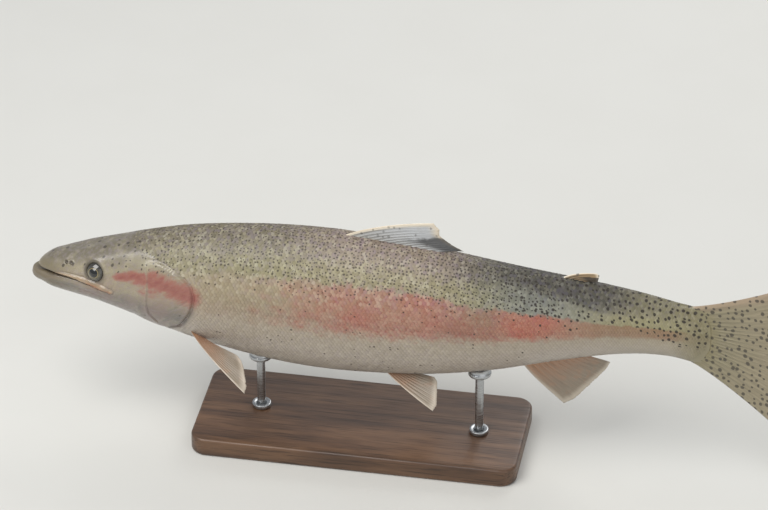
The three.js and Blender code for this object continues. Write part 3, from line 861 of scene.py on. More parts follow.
def buildCoat(material):
    sizes = scaleSizes
    count = len(scaleOutline)
    # one scale: the outline's corners over the skin, then a crown in the middle, then the underside
    back, across = np.concatenate([scaleOutline, [(sizes["crownAt"], 0.0)], scaleOutline]).T
    t = (back - back.min()) / np.ptp(back)
    stand = -sizes["frontSink"] + (sizes["rearLift"] + sizes["frontSink"]) * t**0.8
    stand[count] += sizes["crown"]
    stand[count + 1:] -= sizes["thick"]
    rim = np.clip((back - 0.4) / 0.65, 0, 1)
    rim[count:] = [0.0] + [1.0] * count
    a = back * sizes["along"] * sizes["overlap"][0]
    b = across * sizes["rowGap"] * sizes["overlap"][1]
    rng = np.random.default_rng(sizes["seed"])
    pieces = []
    for side, sideName in ((-1, "left"), (1, "right")):
        table, tops, lows = sideTable(side)
        normals = gridNormals(table)
        roots = scaleRoots(tops, lows)
        y, z = readTable(table, roots[:, 0], roots[:, 1]).T[1:]
        worn = wearsScale(roots[:, 0], y, z)
        at, arcAt, row = roots[worn].T[..., None]
        size, turn, raised, nod, roll = [rng.uniform(*ends, at.shape) for ends in scaleSpread.values()]
        size = size * sizeAt(at) * (0.72 + 0.28 * scaledShare(at - 5, z[worn][:, None]))
        u = at + (a * np.cos(turn) - b * np.sin(turn)) * size
        arc = arcAt + (a * np.sin(turn) + b * np.cos(turn)) * size
        spots = readTable(table, u, arc)
        height = stand * size**0.5 + raised + nod * (a - a.mean()) + roll * b
        spots = spots + readTable(normals, u, arc) * height[..., None]
        plans = markingPlans(u, spots, (np.interp(u, tableStations, tops) - arc) * side)
        shade = rng.uniform(0, 1, at.shape)
        plans["scaleShade"] = np.stack(np.broadcast_arrays(shade, rim, (row == 0) * 1.0), -1)
        # each scale's patch of the bake lies at its root's place on the unwrapped skin
        edge, share, low = sizes["bakeEdge"], sizes["bakePatch"], lows.min()
        rootPlace = [(at - sizes["start"]) / sizes["bakeLength"], (arcAt - low) / (tops.max() - low)]
        reach = [(u - at) / (1.5 * sizes["along"]), (arc - arcAt) / (1.3 * sizes["rowGap"])]
        patch = np.stack([edge + share * r + (1 - 2 * edge) * p for r, p in zip(reach, rootPlace)], -1)
        front = at[:, 0] < sizes["split"]
        for part, mask in (("front", front), ("rear", ~front)):
            layers = {name: values[mask] for name, values in plans.items()}
            name = "scales_%s_%s" % (sideName, part)
            pieces.append(scaleMesh(name, spots[mask], patch[mask], layers, side, material))
    return pieces


def scaleMesh(name, spots, patch, plans, side, material):
    # one joined mesh of closed plates
    count = len(scaleOutline)
    each = 2 * count + 1
    after = [(k + 1) % count for k in range(count)]
    faces = [(k, after[k], count) for k in range(count)]
    faces += [(k, count + 1 + k, count + 1 + after[k], after[k]) for k in range(count)]
    faces.append(tuple(range(2 * count, count, -1)))
    if side < 0:  # seen from outside, the left side's rows run the other way
        faces = [f[::-1] for f in faces]
    flat = np.array([k for f in faces for k in f])
    starts = np.cumsum([0] + [len(f) for f in faces[:-1]])
    scale = np.arange(len(spots))[:, None]
    loops = (flat + each * scale).ravel()
    begins = (starts + len(flat) * scale).ravel()
    mesh = bpy.data.meshes.new(name)
    mesh.vertices.add(len(spots) * each)
    mesh.loops.add(len(loops))
    mesh.polygons.add(len(begins))
    setCorners(mesh, spots)
    mesh.loops.foreach_set("vertex_index", loops.astype(np.int32))
    mesh.polygons.foreach_set("loop_start", begins.astype(np.int32))
    mesh.update(calc_edges=True)
    storeVectors(mesh, plans)
    storeBake(mesh, patch.reshape(-1, 2))
    mesh.validate()
    piece = addObject(name, mesh, material)
    # the rims stay crisp
    kind = readAll(mesh.edges, "vertices", 2, np.int32) % each
    layer = mesh.attributes.new("sharp_edge", "BOOLEAN", "EDGE")
    layer.data.foreach_set("value", np.all(kind < count, 1) | np.all(kind > count, 1))
    return piece


# Fins: the first value of leave and lean is for the front ray, the second for the rear ray

finForms = {
    "dorsal_fin": {
        "rays": 12, "steps": 34, "thick": 2.3, "edge": 0.55, "bow": 3.0, "notch": 0.008, "seed": 3,
        "length": (97, 0.66, 0.7), "leave": (44, 25, 0.5), "lean": (5.5, 0, 0.8), "tones": "dorsal",
        "root": (292, 376), "sink": 4.0, "way": 1, "trim": (0.045, 0.05), "full": 0.035,
    },
    "adipose_fin": {
        "rays": 5, "steps": 22, "thick": 4.0, "edge": 1.1, "bow": 0.0, "notch": 0.0, "seed": 4,
        "length": (37, 0.57, 1.0), "leave": (54, 34, 1.0), "lean": (-3, -8, 1.0), "tones": "adipose",
        "root": (497, 515), "sink": 3.0, "way": 1, "trim": (0.07, 0.0),
    },
    "anal_fin": {
        "rays": 11, "steps": 26, "thick": 2.3, "edge": 0.55, "bow": 4.0, "notch": 0.008, "seed": 5,
        "length": (68, 0.54, 1.0), "leave": (66, 34, 1.0), "lean": (44, 20, 1.0), "tones": "paired",
        "root": (462, 518), "sink": 4.0, "way": -1, "trim": (0.05, 0.05),
    },
}
tailForm = {
    "rays": 20, "steps": 40, "thick": 3.0, "edge": 0.55, "bow": 0.0, "notch": 0.008, "seed": 6,
    "trim": (0.07, 0.07),
}
pairedForms = {
    "pectoral_fin": {
        "from": (152, -27, -37), "to": (162, -24, -45), "dip": 36, "lengths": (94, 46), "leave": (58, 34),
        "lean": (36, 20), "rays": 13, "steps": 34, "thick": 2.4, "edge": 0.55, "bow": 5.0, "notch": 0.008,
        "seed": 7, "trim": (0.05, 0.05),
    },
    "pelvic_fin": {
        "from": (331, -13, -60), "to": (345, -8, -63), "dip": 48, "lengths": (73, 42), "leave": (46, 16),
        "lean": (30, 8), "rays": 9, "steps": 30, "thick": 2.4, "edge": 0.55, "bow": 4.0, "notch": 0.008,
        "seed": 8, "trim": (0.05, 0.05),
    },
}
columnsPerRay = 8
rayBends = 12  # short straight runs that make up a ray's curve


def between(a, b, t):
    return a + (b - a) * t


def runAlong(length, leave, lean, t):
    # how far a ray has run back and up, t of the way along it
    back, up = np.zeros(t.shape), np.zeros(t.shape)
    for k in range(rayBends):
        angle = between(leave, lean, ((k + 0.5) / rayBends * t) ** 0.35) * deg
        back += np.cos(angle) * length * t / rayBends
        up += np.sin(angle) * length * t / rayBends
    return back, up


def finBlank(columns, steps):
    # a flat block cut into columns and steps: x across the rays, y along them, z through
    bm = bmesh.new()
    bmesh.ops.create_cube(bm, size=1)
    for axis, parts in enumerate((columns, steps)):
        lying = [e for e in bm.edges if abs((e.verts[0].co - e.verts[1].co)[axis]) > 0.9]
        bmesh.ops.subdivide_edges(bm, edges=lying, cuts=parts - 1, use_grid_fill=True)
    return bm


def rayRelief(a, t, rays):
    # 1 on a ray and 0 on the skin between two; each ray forks on its way out
    phase = a * rays
    off = phase - np.floor(phase) - 0.5
    fork = 0.2 * ease((t - 0.42) / 0.4)
    wide = 0.17 - 0.06 * ease((t - 0.3) / 0.5)
    return np.maximum(bell(off - fork, wide), bell(off + fork, wide))


def finCorner(a, form):
    # how much shorter the rays are at the fin's two rounded corners
    first, last = form["trim"]
    if "full" in form:  # a rounder corner, with the rays behind it a little longer
        corner = first * (1 - np.sqrt(1 - np.clip(1 - a / 0.12, 0, 1) ** 2))
        corner = corner - form["full"] * ease(a / 0.12) * (1 - ease((a - 0.12) / 0.22))
    else:
        corner = first * (1 - ease(a / 0.16))
    return corner + last * (1 - ease((1 - a) / 0.16))


def buildFin(name, form, root, ray, up, flat, material, mirrored=False):
    # root gives a ray's foot, ray its length and its two angles, for places a along the foot
    rays, up, flat = form["rays"], np.array(up), np.array(flat)
    mesh = meshOf(finBlank(rays * columnsPerRay, form["steps"]), name)
    a, t, face = readAll(mesh.vertices, "co", 3, np.float32).astype(float).T
    a, t, face = a + 0.5, t + 0.5, np.sign(face)
    relief = rayRelief(a, t, rays)
    joints = 0.06 * np.cos(t * 150 + a * 9) * relief * ease((t - 0.25) / 0.2)
    half = between(form["thick"], form["edge"], t**0.8) / 2
    soft = bell(t, 0.09)  # the fleshy foot
    half = half * (0.42 + (0.58 + joints) * relief) * (1 - soft) + half * 1.1 * soft
    half = np.maximum(half, 0.2) * np.where((a < 1e-6) | (a > 1 - 1e-6), 0.5, 1.0)
    tips = np.random.default_rng(form["seed"]).uniform(-0.01, 0.002, rays * 2 + 1)
    worn = np.interp(a, np.linspace(0, 1, rays * 2 + 1), tips)
    reach = t * (1 - finCorner(a, form)) * (1 - (form["notch"] * (1 - relief) - worn) * t**3)
    back, high = runAlong(*ray(a), reach)
    ripple = 0.35 * np.sin(a * rays * 0.9 + t * 3.0) * t
    through = face * half + form["bow"] * np.sin(t * 90 * deg) ** 2 + ripple
    start = root(a)
    spots = start + back[:, None] * (1.0, 0, 0) + high[:, None] * up + through[:, None] * flat
    if mirrored:
        spots[:, 1] *= -1
    setCorners(mesh, spots)
    apart = np.full(a.shape, form["seed"] * 3.0)  # gives each fin spots of its own
    place = np.stack([(start[:, 0] + back) / 10, (start @ up + high) / 10, apart], -1)
    storeVectors(mesh, {"finPlan": np.stack([a, t, relief], -1), "finPlace": place})
    storeBake(mesh, np.stack([np.where(face > 0, 0.01, 0.51) + 0.47 * a, 0.01 + 0.98 * t], -1))
    turnOutward(mesh)
    return addObject(name + "_rays", mesh, material)


def buildMiddleFin(name, material):
    form = finForms[name]
    way, sink = form["way"], form["sink"]
    long, shrink, power = form["length"]

    def root(a):
        u = between(*form["root"], a)
        back, belly = bodyAt(u)[:2]
        return np.stack([u, 0 * u, (back - sink) if way > 0 else (sink - belly)], -1)

    def ray(a):
        angles = [between(front, rear, a**bend) for front, rear, bend in (form["leave"], form["lean"])]
        return long * (1 - shrink * a**power), *angles

    return buildFin(name, form, root, ray, (0, 0, way), (0, 1, 0), material)


def buildTail(material):
    def root(a):
        level = 1 - 2 * a
        return np.stack([640 - 24 * level**4, 0 * a, 28.5 * level], -1)

    def ray(a):
        level = 1 - 2 * a
        return 70 + 36 * level**4 + 6 * level**2, 12 * level, 33 * level

    return buildFin("tail_fin", tailForm, root, ray, (0, 0, 1), (0, 1, 0), material)


def buildPairedFin(name, side, material):
    form = pairedForms[name]
    sine, cosine = math.sin(form["dip"] * deg), math.cos(form["dip"] * deg)
    start, end = np.array(form["from"], float), np.array(form["to"], float)

    def root(a):
        return start + (end - start) * a[:, None]

    def ray(a):
        return between(*form["lengths"], a**0.8), between(*form["leave"], a), between(*form["lean"], a)

    return buildFin(name + "_" + side, form, root, ray, (0, -cosine, -sine), (0, -sine, cosine), material,
                    side == "right")


eyeLook = {
    "pupil": 4.3,
    "ring": 4.75,
    "iris": 7.2,
    "pupilLong": 1.12,  # the pupil is drawn out towards the snout
    "bulge": 0.75,  # of the clear lens over the pupil
    "bulgeRadius": 4.6,
    "irisTones": [(0.32, "#2b2924"), (0.5, "#55503f"), (0.66, "#857d66")],
    "shadow": "#2a2a2c",
    "outer": "#2c2822",
    "gold": "#b9a468",
    "black": "#070808",
}


def buildEye(side, material):
    # an eyeball, a little flattened, facing out from the head
    form, look = headForm, eyeLook
    bm = bmesh.new()
    bmesh.ops.create_uvsphere(bm, u_segments=72, v_segments=56, radius=1)
    here, out = [Vector(v * (1, 1 if side == "right" else -1, 1)) for v in eyeSeat()]
    centre = here - out * form["eyeSunk"]
    facing = out.to_track_quat("Z", "Y")
    forward = Vector((1, 0, 0))
    forward = (forward - out * forward.dot(out)).normalized()
    upward = out.cross(forward)
    upward *= 1 if upward.z > 0 else -1
    wide, deep = form["eyeRadius"], form["eyeDepth"]
    plan, spots = [], []
    for x, y, z in [v.co for v in bm.verts]:
        bulge = max(0.0, 1 - (math.hypot(x, y) * wide / look["bulgeRadius"]) ** 2) if z > 0 else 0.0
        turned = facing @ Vector((x * wide, y * wide, z * deep + look["bulge"] * bulge))
        spots.append(centre + turned)
        plan.append((turned.dot(forward), turned.dot(upward), z))
    mesh = meshOf(bm, "eye")
    setCorners(mesh, np.array(spots))
    storeVectors(mesh, {"eyePlan": np.array(plan)})
    return addObject("eye_%s_ball" % side, mesh, material)


standForm = {
    "length": 310.0, "width": 124.0, "thick": 18.0, "corner": 16.0, "bevel": 2.5,
    "rodRadius": 4.0, "rods": {"front": 214.0, "rear": 424.0},
    "collarRadius": 9.0, "collarHeight": 4.0, "saddleRadius": 11.0, "saddleHeight": 4.6,
    "saddleDepth": 7.0, "gap": 0.35,
}


def bellyBelow(u, w):
    back, belly, half, mid, roof, keel = bodyAt(u)
    out = np.clip(np.abs(w) / half, 0, 0.999) ** (keel / 2)
    return mid - (mid + belly) * np.sqrt(1 - out**2) ** (2 / keel)


def turnedPiece(name, profile, centre, material, steps=56):
    # spins a profile of (radius, height) in millimetres about an upright line
    bm = bmesh.new()
    verts = [bm.verts.new((r * mm, 0, z * mm)) for r, z in profile]
    edges = [bm.edges.new(pair) for pair in zip(verts[:-1], verts[1:])]
    bmesh.ops.spin(bm, geom=verts + edges, cent=(0, 0, 0), axis=(0, 0, 1), dvec=(0, 0, 0),
                   angle=2 * math.pi, steps=steps, use_merge=True)
    bmesh.ops.remove_doubles(bm, verts=bm.verts, dist=1e-7)
    bmesh.ops.recalc_face_normals(bm, faces=bm.faces)
    bmesh.ops.translate(bm, verts=bm.verts, vec=(centre[0] * mm, centre[1] * mm, 0))
    return addObject(name, meshOf(bm, name), material)


def softened(radius, low, high, soft, bore=0.0):
    # a profile with rounded rims, closed on its axis or round its bore
    rim = [(math.sin(a) * soft, math.cos(a) * soft) for a in np.arange(5) / 4 * 90 * deg]
    points = [(bore, low)]
    points += [(radius - soft + s, low + soft - c) for s, c in rim]
    points += [(radius - soft + c, high - soft + s) for s, c in rim]
    points.append((bore, high))
    return points + [(bore, low)] * (bore > 0)


def buildRodSet(name, steel):
    # a rod, a collar at its foot and a saddle that follows the belly
    form = standForm
    at, axis = form["rods"][name], bodyPlaces["axisHeight"]
    foot = np.array(bent(at, 0.0, 0.0))[:2] - lift[:2]
    bottom = form["thick"] + form["gap"]
    low = axis - bodyAt(at)[1] - form["saddleDepth"]
    profiles = {
        "rod_": softened(form["rodRadius"], bottom, low - form["gap"], 0.3),
        "collar_": softened(form["collarRadius"], bottom, bottom + form["collarHeight"], 0.9,
                            form["rodRadius"] + 0.15),
    }
    pieces = [turnedPiece(kind + name, profile, foot, steel) for kind, profile in profiles.items()]
    top = low + form["saddleHeight"]
    rings = [(0, low), (5, low)] + softened(form["saddleRadius"], low, top - 0.1, 1.6)[2:-1]
    rings += [(r, top) for r in (form["saddleRadius"] - 0.5, 9, 6, 3, 0)]
    saddle = turnedPiece("saddle_" + name, rings, foot, steel, 48)
    turn = np.interp(at, spineAt, spineTurn)
    for v in saddle.data.vertices:
        if v.co.z / mm > top - 0.2:
            px, py = v.co.x / mm - foot[0], v.co.y / mm - foot[1]
            u, w = at + px * math.cos(turn) - py * math.sin(turn), px * math.sin(turn) + py * math.cos(turn)
            v.co.z = (axis + float(bellyBelow(u, w)) - 0.3) * mm
    saddle.data.update()
    return pieces + [saddle]


def buildBase(wood):
    form = standForm
    size = Vector((form["length"], form["width"], form["thick"])) * mm
    bm = bmesh.new()
    bmesh.ops.create_cube(bm, size=1)
    bmesh.ops.scale(bm, vec=size, verts=bm.verts)
    bmesh.ops.translate(bm, vec=(0, 0, size.z / 2), verts=bm.verts)

    def bevel(edges, offset, segments):
        bmesh.ops.bevel(bm, geom=edges, offset=offset * mm, segments=segments, affect="EDGES", profile=0.5,
                        material=-1)

    def rise(edge):
        return abs(edge.verts[0].co.z - edge.verts[1].co.z)

    bevel([e for e in bm.edges if rise(e) > 1e-4], form["corner"], 10)
    bevel([e for e in bm.edges if rise(e) < 1e-6], form["bevel"], 5)
    bmesh.ops.recalc_face_normals(bm, faces=bm.faces)
    return addObject("base", meshOf(bm, "base"), wood)


# Colours. In the markings a station is in centimetres, and heights run from the
# lateral line at 0 to the ridge at 1 and the keel at -1.

bodyTones = {
    "heights": [  # from the belly's keel, over the side, to the ridge
        (0.00, "#b2a99f"), (0.22, "#b7aca0"), (0.42, "#ac9f8d"), (0.58, "#9c9379"), (0.72, "#a59c82"),
        (0.88, "#938b73"), (1.00, "#6f6755"),
    ],
    "headHeights": [
        (0.0, "#736f66"), (0.35, "#736f66"), (0.52, "#9a9078"), (0.76, "#9a9078"), (0.93, "#6c6553"),
        (1.0, "#6c6553"),
    ],
    "stripe": "#ad5f55",
    "stripeRear": "#af6152",
    "stripeDeep": "#913a35",
    # painted shade over the stripe's rear part
    "stripeShade": "#6a4c40",
    "stripeGold": "#c79b74",
    "overStripe": "#9d9970",
    "overRear": "#8f9288",
    "overTail": "#9b9570",
    # lavender: a painted sky reflection on the upper back, and flecks on the bare head
    "lavender": "#8f828b",
    "backFlush": "#b39a91",
    "cream": "#c9bf9f",
    "rearTint": "#908b62",
    "ridge": "#302f2e",
    "tailRoot": "#857d5f",
    "rearGrey": "#67706f",
    "rearStripe": "#8d6a4e",
    "headGrain": "#6b6150",
    "headFlush": "#a5857c",
    "snout": "#685f45",
    "gillRed": "#98413b",
    # gillPale: the painted highlight on the gill cover, and pale flecks in its red
    "gillPale": "#a69e84",
    "gillDeep": "#7a3033",
    "blade": "#a98e6e",
    "bladeLow": "#a5643f",
    # painted shade inside the mouth and along the gape
    "mouth": "#2b2420",
    # painted shade round the eye and in the nostrils
    "hollowShade": "#4a443c",
    "spot": "#332c26",
}
spotSizes = {  # centimetres; shift keeps one kind of spots off another's places
    "front": {"apart": 0.35, "radius": 0.25, "shift": 0.0},
    "rear": {"apart": 0.55, "radius": (0.21, 0.275), "shift": 13.7},
    "head": {"apart": 1.05, "radius": 0.14, "shift": 5.3},
    "scatter": 0.68,
    "softness": (1.22, 0.72),  # where a spot's rim starts and where it is full, of its radius
    "bends": ((0.3, 0.75), (5.0, 0.07)),  # bends the rows, then roughens each spot's outline
}


def spotLayer():
    # round ink spots on a plan, one for some of its cells
    kinds = {"Plan": "Vector", "Apart": "Float", "Radius": "Float", "Share": "Float", "Shift": "Float"}
    group, ins, outs = newGroup("inkSpots", kinds, {"Mask": "Float"})
    shifted = joined(*[plus(part, ins["Shift"]) for part in axesOf(ins["Plan"])[:2]])
    place = shifted
    for scale, reach in spotSizes["bends"]:
        bend = (cloud(shifted, scale, 1.0, 0.5, "Color"), (reach, reach, 0.0), place)
        place = addNode("VectorMath", bend, operation="MULTIPLY_ADD").outputs[0]
    found = cells(place, maths("DIVIDE", 1.0, ins["Apart"]), spotSizes["scatter"], voronoi_dimensions="2D")
    chance = axesOf(found["Color"])
    radius = times(ins["Radius"], step(chance[1], 0.0, 1.0, 0.72, 1.15))
    mask = step(found["Distance"], *[times(radius, share) for share in spotSizes["softness"]])
    feed(outs["Mask"], times(mask, maths("LESS_THAN", chance[0], ins["Share"])))
    return group


def markingGroup(spots):
    # the fish's colours, for the skin and for every scale
    tones = bodyTones
    kinds = dict.fromkeys(("Plan", "Zones", "Heads", "Jaws"), "Vector")
    group, ins, outs = newGroup("troutMarkings", kinds, {"Color": "Color", "Spots": "Float"})
    back, ridge, height = axesOf(ins["Plan"])
    band, bare = axesOf(ins["Zones"])[:2]
    red, paleLineAndHighlight, snout = axesOf(ins["Heads"])
    jaw, inside, hollowShade = axesOf(ins["Jaws"])
    flatPlan = joined(back, ridge)
    broad = cloud(flatPlan, 0.22, 3.0, 0.55)
    patchy = cloud(flatPlan, 0.9, 3.0, 0.6)
    fine = cloud(flatPlan, 2.6, 3.0, 0.6)
    grainy = cloud(flatPlan, 9.0, 4.0, 0.65)
    wavy = timesPlus(minus(patchy, 0.5), 0.22, height)
    fromKeel = timesPlus(wavy, 0.5, 0.5)
    # lavender flecks on the upper back are a painted sheen, the sky's reflection in wet scales; then a flush
    # and cream flecks, then green-grey towards the tail
    skySheen = times(step(height, 0.35, 0.7), step(fine, 0.45, 0.65), step(back, 14, 32, 0.35, 1.0), 0.55)
    colour = layered(ramp(fromKeel, tones["heights"]), tones, (
        (skySheen, "lavender"),
        (times(step(back, 22, 32), step(back, 46, 39), step(wavy, 0.25, 0.55, 0.0, 0.48)), "backFlush"),
        (times(step(height, 0.2, 0.55), step(fine, 0.42, 0.3), step(back, 34, 50, 0.38, 0.1)), "cream"),
        (times(step(back, 50, 60), step(height, -0.3, 0.3, 0.2, 0.65)), "rearTint"),
        (times(step(back, 39, 47.5), step(wavy, 0.1, 0.4), step(back, 57.5, 51, 0.05, 0.7)), "rearGrey"),
        (times(step(back, 36, 47, 0.22, 0.92), step(wavy, 0.3, 0.8), step(back, 59, 53, 0.36, 1.0)), "ridge"),
    ))
    # green-yellow over the stripe, then the stripe itself with a broken edge
    edge = plus(band, times(minus(patchy, 0.5), 0.8), times(minus(fine, 0.5), 0.6))
    reach = minus(edge, step(back, 36, 48, 0.0, 0.8))
    olive = mixed(step(back, 40.5, 47), tones["overStripe"], tones["overRear"])
    olive = mixed(step(back, 48, 55), olive, tones["overTail"])
    rosy = mixed(step(back, 41, 46), tones["stripe"], tones["stripeRear"])
    whole = times(step(edge, 1.12, 0.78), step(edge, -1.3, -0.5), step(back, 12.5, 17),
                  step(timesPlus(patchy, 16, back), 28, 42, 0.12, 1.0))
    stripe = times(whole, step(back, 54.5, 47.8, 0.12, 1.0))
    strength = plus(timesPlus(step(broad, 0.35, 0.65), 0.3, 0.55), step(back, 37.5, 40, 0.03, -0.14),
                    step(back, 42.5, 46.5, 0.0, 0.28))
    # painted shade: a darker brown laid over the stripe from 37.5 to 46 cm back
    paintedShade = times(step(back, 37.5, 41, 0.0, 0.26), step(back, 46, 43.5))
    flecks = times(step(grainy, 0.52, 0.66), step(back, 40, 46, 0.3, 0.7))
    colour = layered(colour, tones, (
        (times(step(edge, 0.85, 1.15), step(reach, 2.0, 1.3), step(back, 14, 28, 0.3, 0.55)), olive),
        (times(whole, step(back, 49, 54, 0.0, 0.6), step(back, 63, 60)), "rearStripe"),
        (times(stripe, strength), rosy),
        (times(stripe, paintedShade), "stripeShade"),
        (times(stripe, step(fine, 0.5, 0.68), 0.5), "stripeDeep"),
        (times(stripe, flecks), "stripeGold"),
        (times(step(timesPlus(patchy, 1.6, back), 60.5, 64.0), 0.85), "tailRoot"),
    ))
    # the bare head, then its gill cover and its upper jaw
    head = layered(ramp(fromKeel, tones["headHeights"]), tones, (
        (times(step(fine, 0.42, 0.66), 0.35), "lavender"),
        (times(step(patchy, 0.52, 0.36), 0.15), "cream"),
        (step(grainy, 0.46, 0.68, 0.0, 0.3), "headGrain"),
        (times(step(broad, 0.4, 0.62), step(height, 0.55, 0.0, 0.0, 0.3)), "headFlush"),
        (times(snout, step(height, 0.95, 0.5), 0.7), "snout"),
    ))
    streaky = cloud(joined(times(back, 0.6), ridge), 1.9, 4.0, 0.62)
    cheeks = timesPlus(minus(streaky, 0.5), 2.2, red)
    golden = times(step(jaw, 0.0, 1.0), step(patchy, 0.3, 0.7, 0.35, 0.85))
    colour = layered(colour, tones, (
        (bare, head),
        # the painted highlight on the gill cover's top, with the pale line along the cheek plate
        (times(paleLineAndHighlight, 0.5), "gillPale"),
        (times(step(cheeks, -0.35, 0.8), 0.68), "gillRed"),
        (times(step(cheeks, 0.6, 1.4), 0.5), "gillDeep"),
        (times(step(cheeks, -0.2, 0.6), step(grainy, 0.5, 0.66, 0.0, 0.14)), "gillPale"),
        (golden, "blade"),
        (times(golden, step(step(jaw, 1.0, 2.0), 0.2, 1.0, 0.0, 0.7)), "bladeLow"),
    ))
    # spots: sparse on the head, close in front, wider apart and larger behind
    belowStripe = step(edge, 0.35, 1.35)
    clear = larger(step(edge, 0.6, 1.15, 0.12, 1.0), step(back, 56, 61))
    shares = {
        "front": times(step(back, 8.0, 12.0), step(back, 52, 44), step(back, 12.0, 30.0, 0.55, 1.0),
                       timesPlus(belowStripe, 0.92, 0.025)),
        "rear": times(step(back, 42, 50), timesPlus(step(height, -0.45, 0.15), 0.85, 0.04), clear),
        "head": times(step(back, 14.0, 8.0), step(height, 0.3, 0.55), 0.6),
    }
    masks = []
    for kind, share in shares.items():
        sizes = spotSizes[kind]
        radius = sizes["radius"]
        if kind == "rear":
            radius = step(back, 44, 60, *radius)
        masks.append(useGroup(spots, Plan=flatPlan, Apart=sizes["apart"], Radius=radius, Share=share,
                              Shift=sizes["shift"])["Mask"])
    ink = times(larger(*masks), step(fine, 0.2, 0.45, 0.7, 0.95), step(back, 36, 48, 0.82, 1.0))
    # painted shade in the hollows round the eye and the nostrils, and inside the mouth
    colour = layered(colour, tones, ((ink, "spot"), (times(hollowShade, 0.7), "hollowShade"), (inside, "mouth")))
    feed(outs["Color"], colour)
    feed(outs["Spots"], ink)
    return group


def markedAs(tree, markings):
    # the markings where each point's attributes say that it lies on the fish
    layers = {"Plan": "bodyPlan", "Zones": "bodyZones", "Heads": "headTones", "Jaws": "jawTones"}
    return useGroup(markings, **{name: attributeOf(tree, layer) for name, layer in layers.items()})


def wetSkinMaterial(markings):
    material, tree, shader = newMaterial("trout skin", Roughness=0.38, Coat_Weight=0.45, Coat_Roughness=0.16)
    place = placeIn(tree)
    soft = cloud(place, 260.0, 3.0)
    pebble = times(cells(place, 900.0)["Distance"], 0.35)
    dress(shader, Base_Color=markedAs(tree, markings)["Color"], Roughness=step(soft, 0.3, 0.7, 0.3, 0.46))
    addBump(shader, plus(pebble, soft), 0.00018, 0.6)
    return material


scaleLook = {
    "tints": [(0.0, "#6f6750"), (0.3, "#a69c7a"), (0.55, "#9a8d98"), (0.8, "#cdc3a4"), (1.0, "#e2dcc8")],
    "tintShare": (0.11, 0.25),  # on the side and on the back
    "rim": "#5b5648",
    "poreLine": "#5a4d42",  # along the lateral line
    "coat": 0.28,
    "ridgeDulls": 0.24,  # how much of the coat the ridge loses
}


def scaleMaterial(markings):
    look = scaleLook
    material, tree, shader = newMaterial("trout scales", Roughness=0.4, Specular_IOR_Level=0.36,
                                         Coat_Weight=look["coat"], Coat_Roughness=0.18)
    found = markedAs(tree, markings)
    shade, rim, pore = axesOf(attributeOf(tree, "scaleShade"))
    back, height = axesOf(attributeOf(tree, "bodyPlan"))[::2]
    share = times(step(height, 0.1, 0.5, *look["tintShare"]), minus(1.0, found["Spots"]),
                  step(back, 36, 48, 1.0, 0.6))
    colour = mixed(times(rim, 0.2), found["Color"], look["rim"], "MULTIPLY")
    colour = mixed(share, colour, ramp(shade, look["tints"]))
    colour = mixed(times(pore, step(rim, 0.02, 0.3), 0.15), colour, look["poreLine"])
    onRidge = step(height, 0.6, 0.92)
    dress(shader, Base_Color=colour, Coat_Weight=timesPlus(onRidge, -look["ridgeDulls"], look["coat"]),
          Roughness=timesPlus(onRidge, 0.2, step(shade, 0.0, 1.0, 0.34, 0.54)))
    addBump(shader, cloud(placeIn(tree), 900.0, 2.0), 0.00006, 0.5)
    return material


finTones = {
    # dorsal: its light grey, lighter towards the edge, is painted sky reflection over the fin's own grey; its
    # pale foot is a painted highlight and its dark rear a painted shadow
    "dorsal": {
        "foot": "#b9b6a8", "low": "#a09f9b", "high": "#c2c4c6", "rim": "#e8d7ba", "ray": "#77746e",
        "rear": "#302f2e", "shadowFrom": 0.36, "spot": "#3a332c", "spots": 0.3, "spotSize": 0.5, "ink": 0.45,
    },
    "tail": {
        "foot": "#857d5c", "low": "#8a8268", "high": "#968b72", "rim": "#a8917a", "ray": "#625943",
        "rear": "#6a5c46", "shadowFrom": 2.0, "spot": "#302a24", "spots": 0.85, "spotSize": 0.66, "ink": 0.8,
    },
    # adipose: its near-white rim is a painted highlight and its dark rear a painted shadow
    "adipose": {
        "foot": "#6a5b44", "low": "#7c674a", "high": "#a88d68", "rim": "#fff3dd", "ray": "#8a7a5e",
        "rear": "#2a2622", "shadowFrom": 0.3, "spot": "#3a322a", "spots": 0.35, "spotSize": 0.5, "ink": 0.7,
    },
    "paired": {
        "foot": "#bd8a62", "low": "#ab8062", "high": "#8f8271", "rim": "#cfc3b2", "ray": "#6f5f4f",
        "rear": "#8c7a68", "shadowFrom": 2.0, "spot": "#4a4038", "spots": 0.0, "spotSize": 0.6, "ink": 0.5,
    },
}


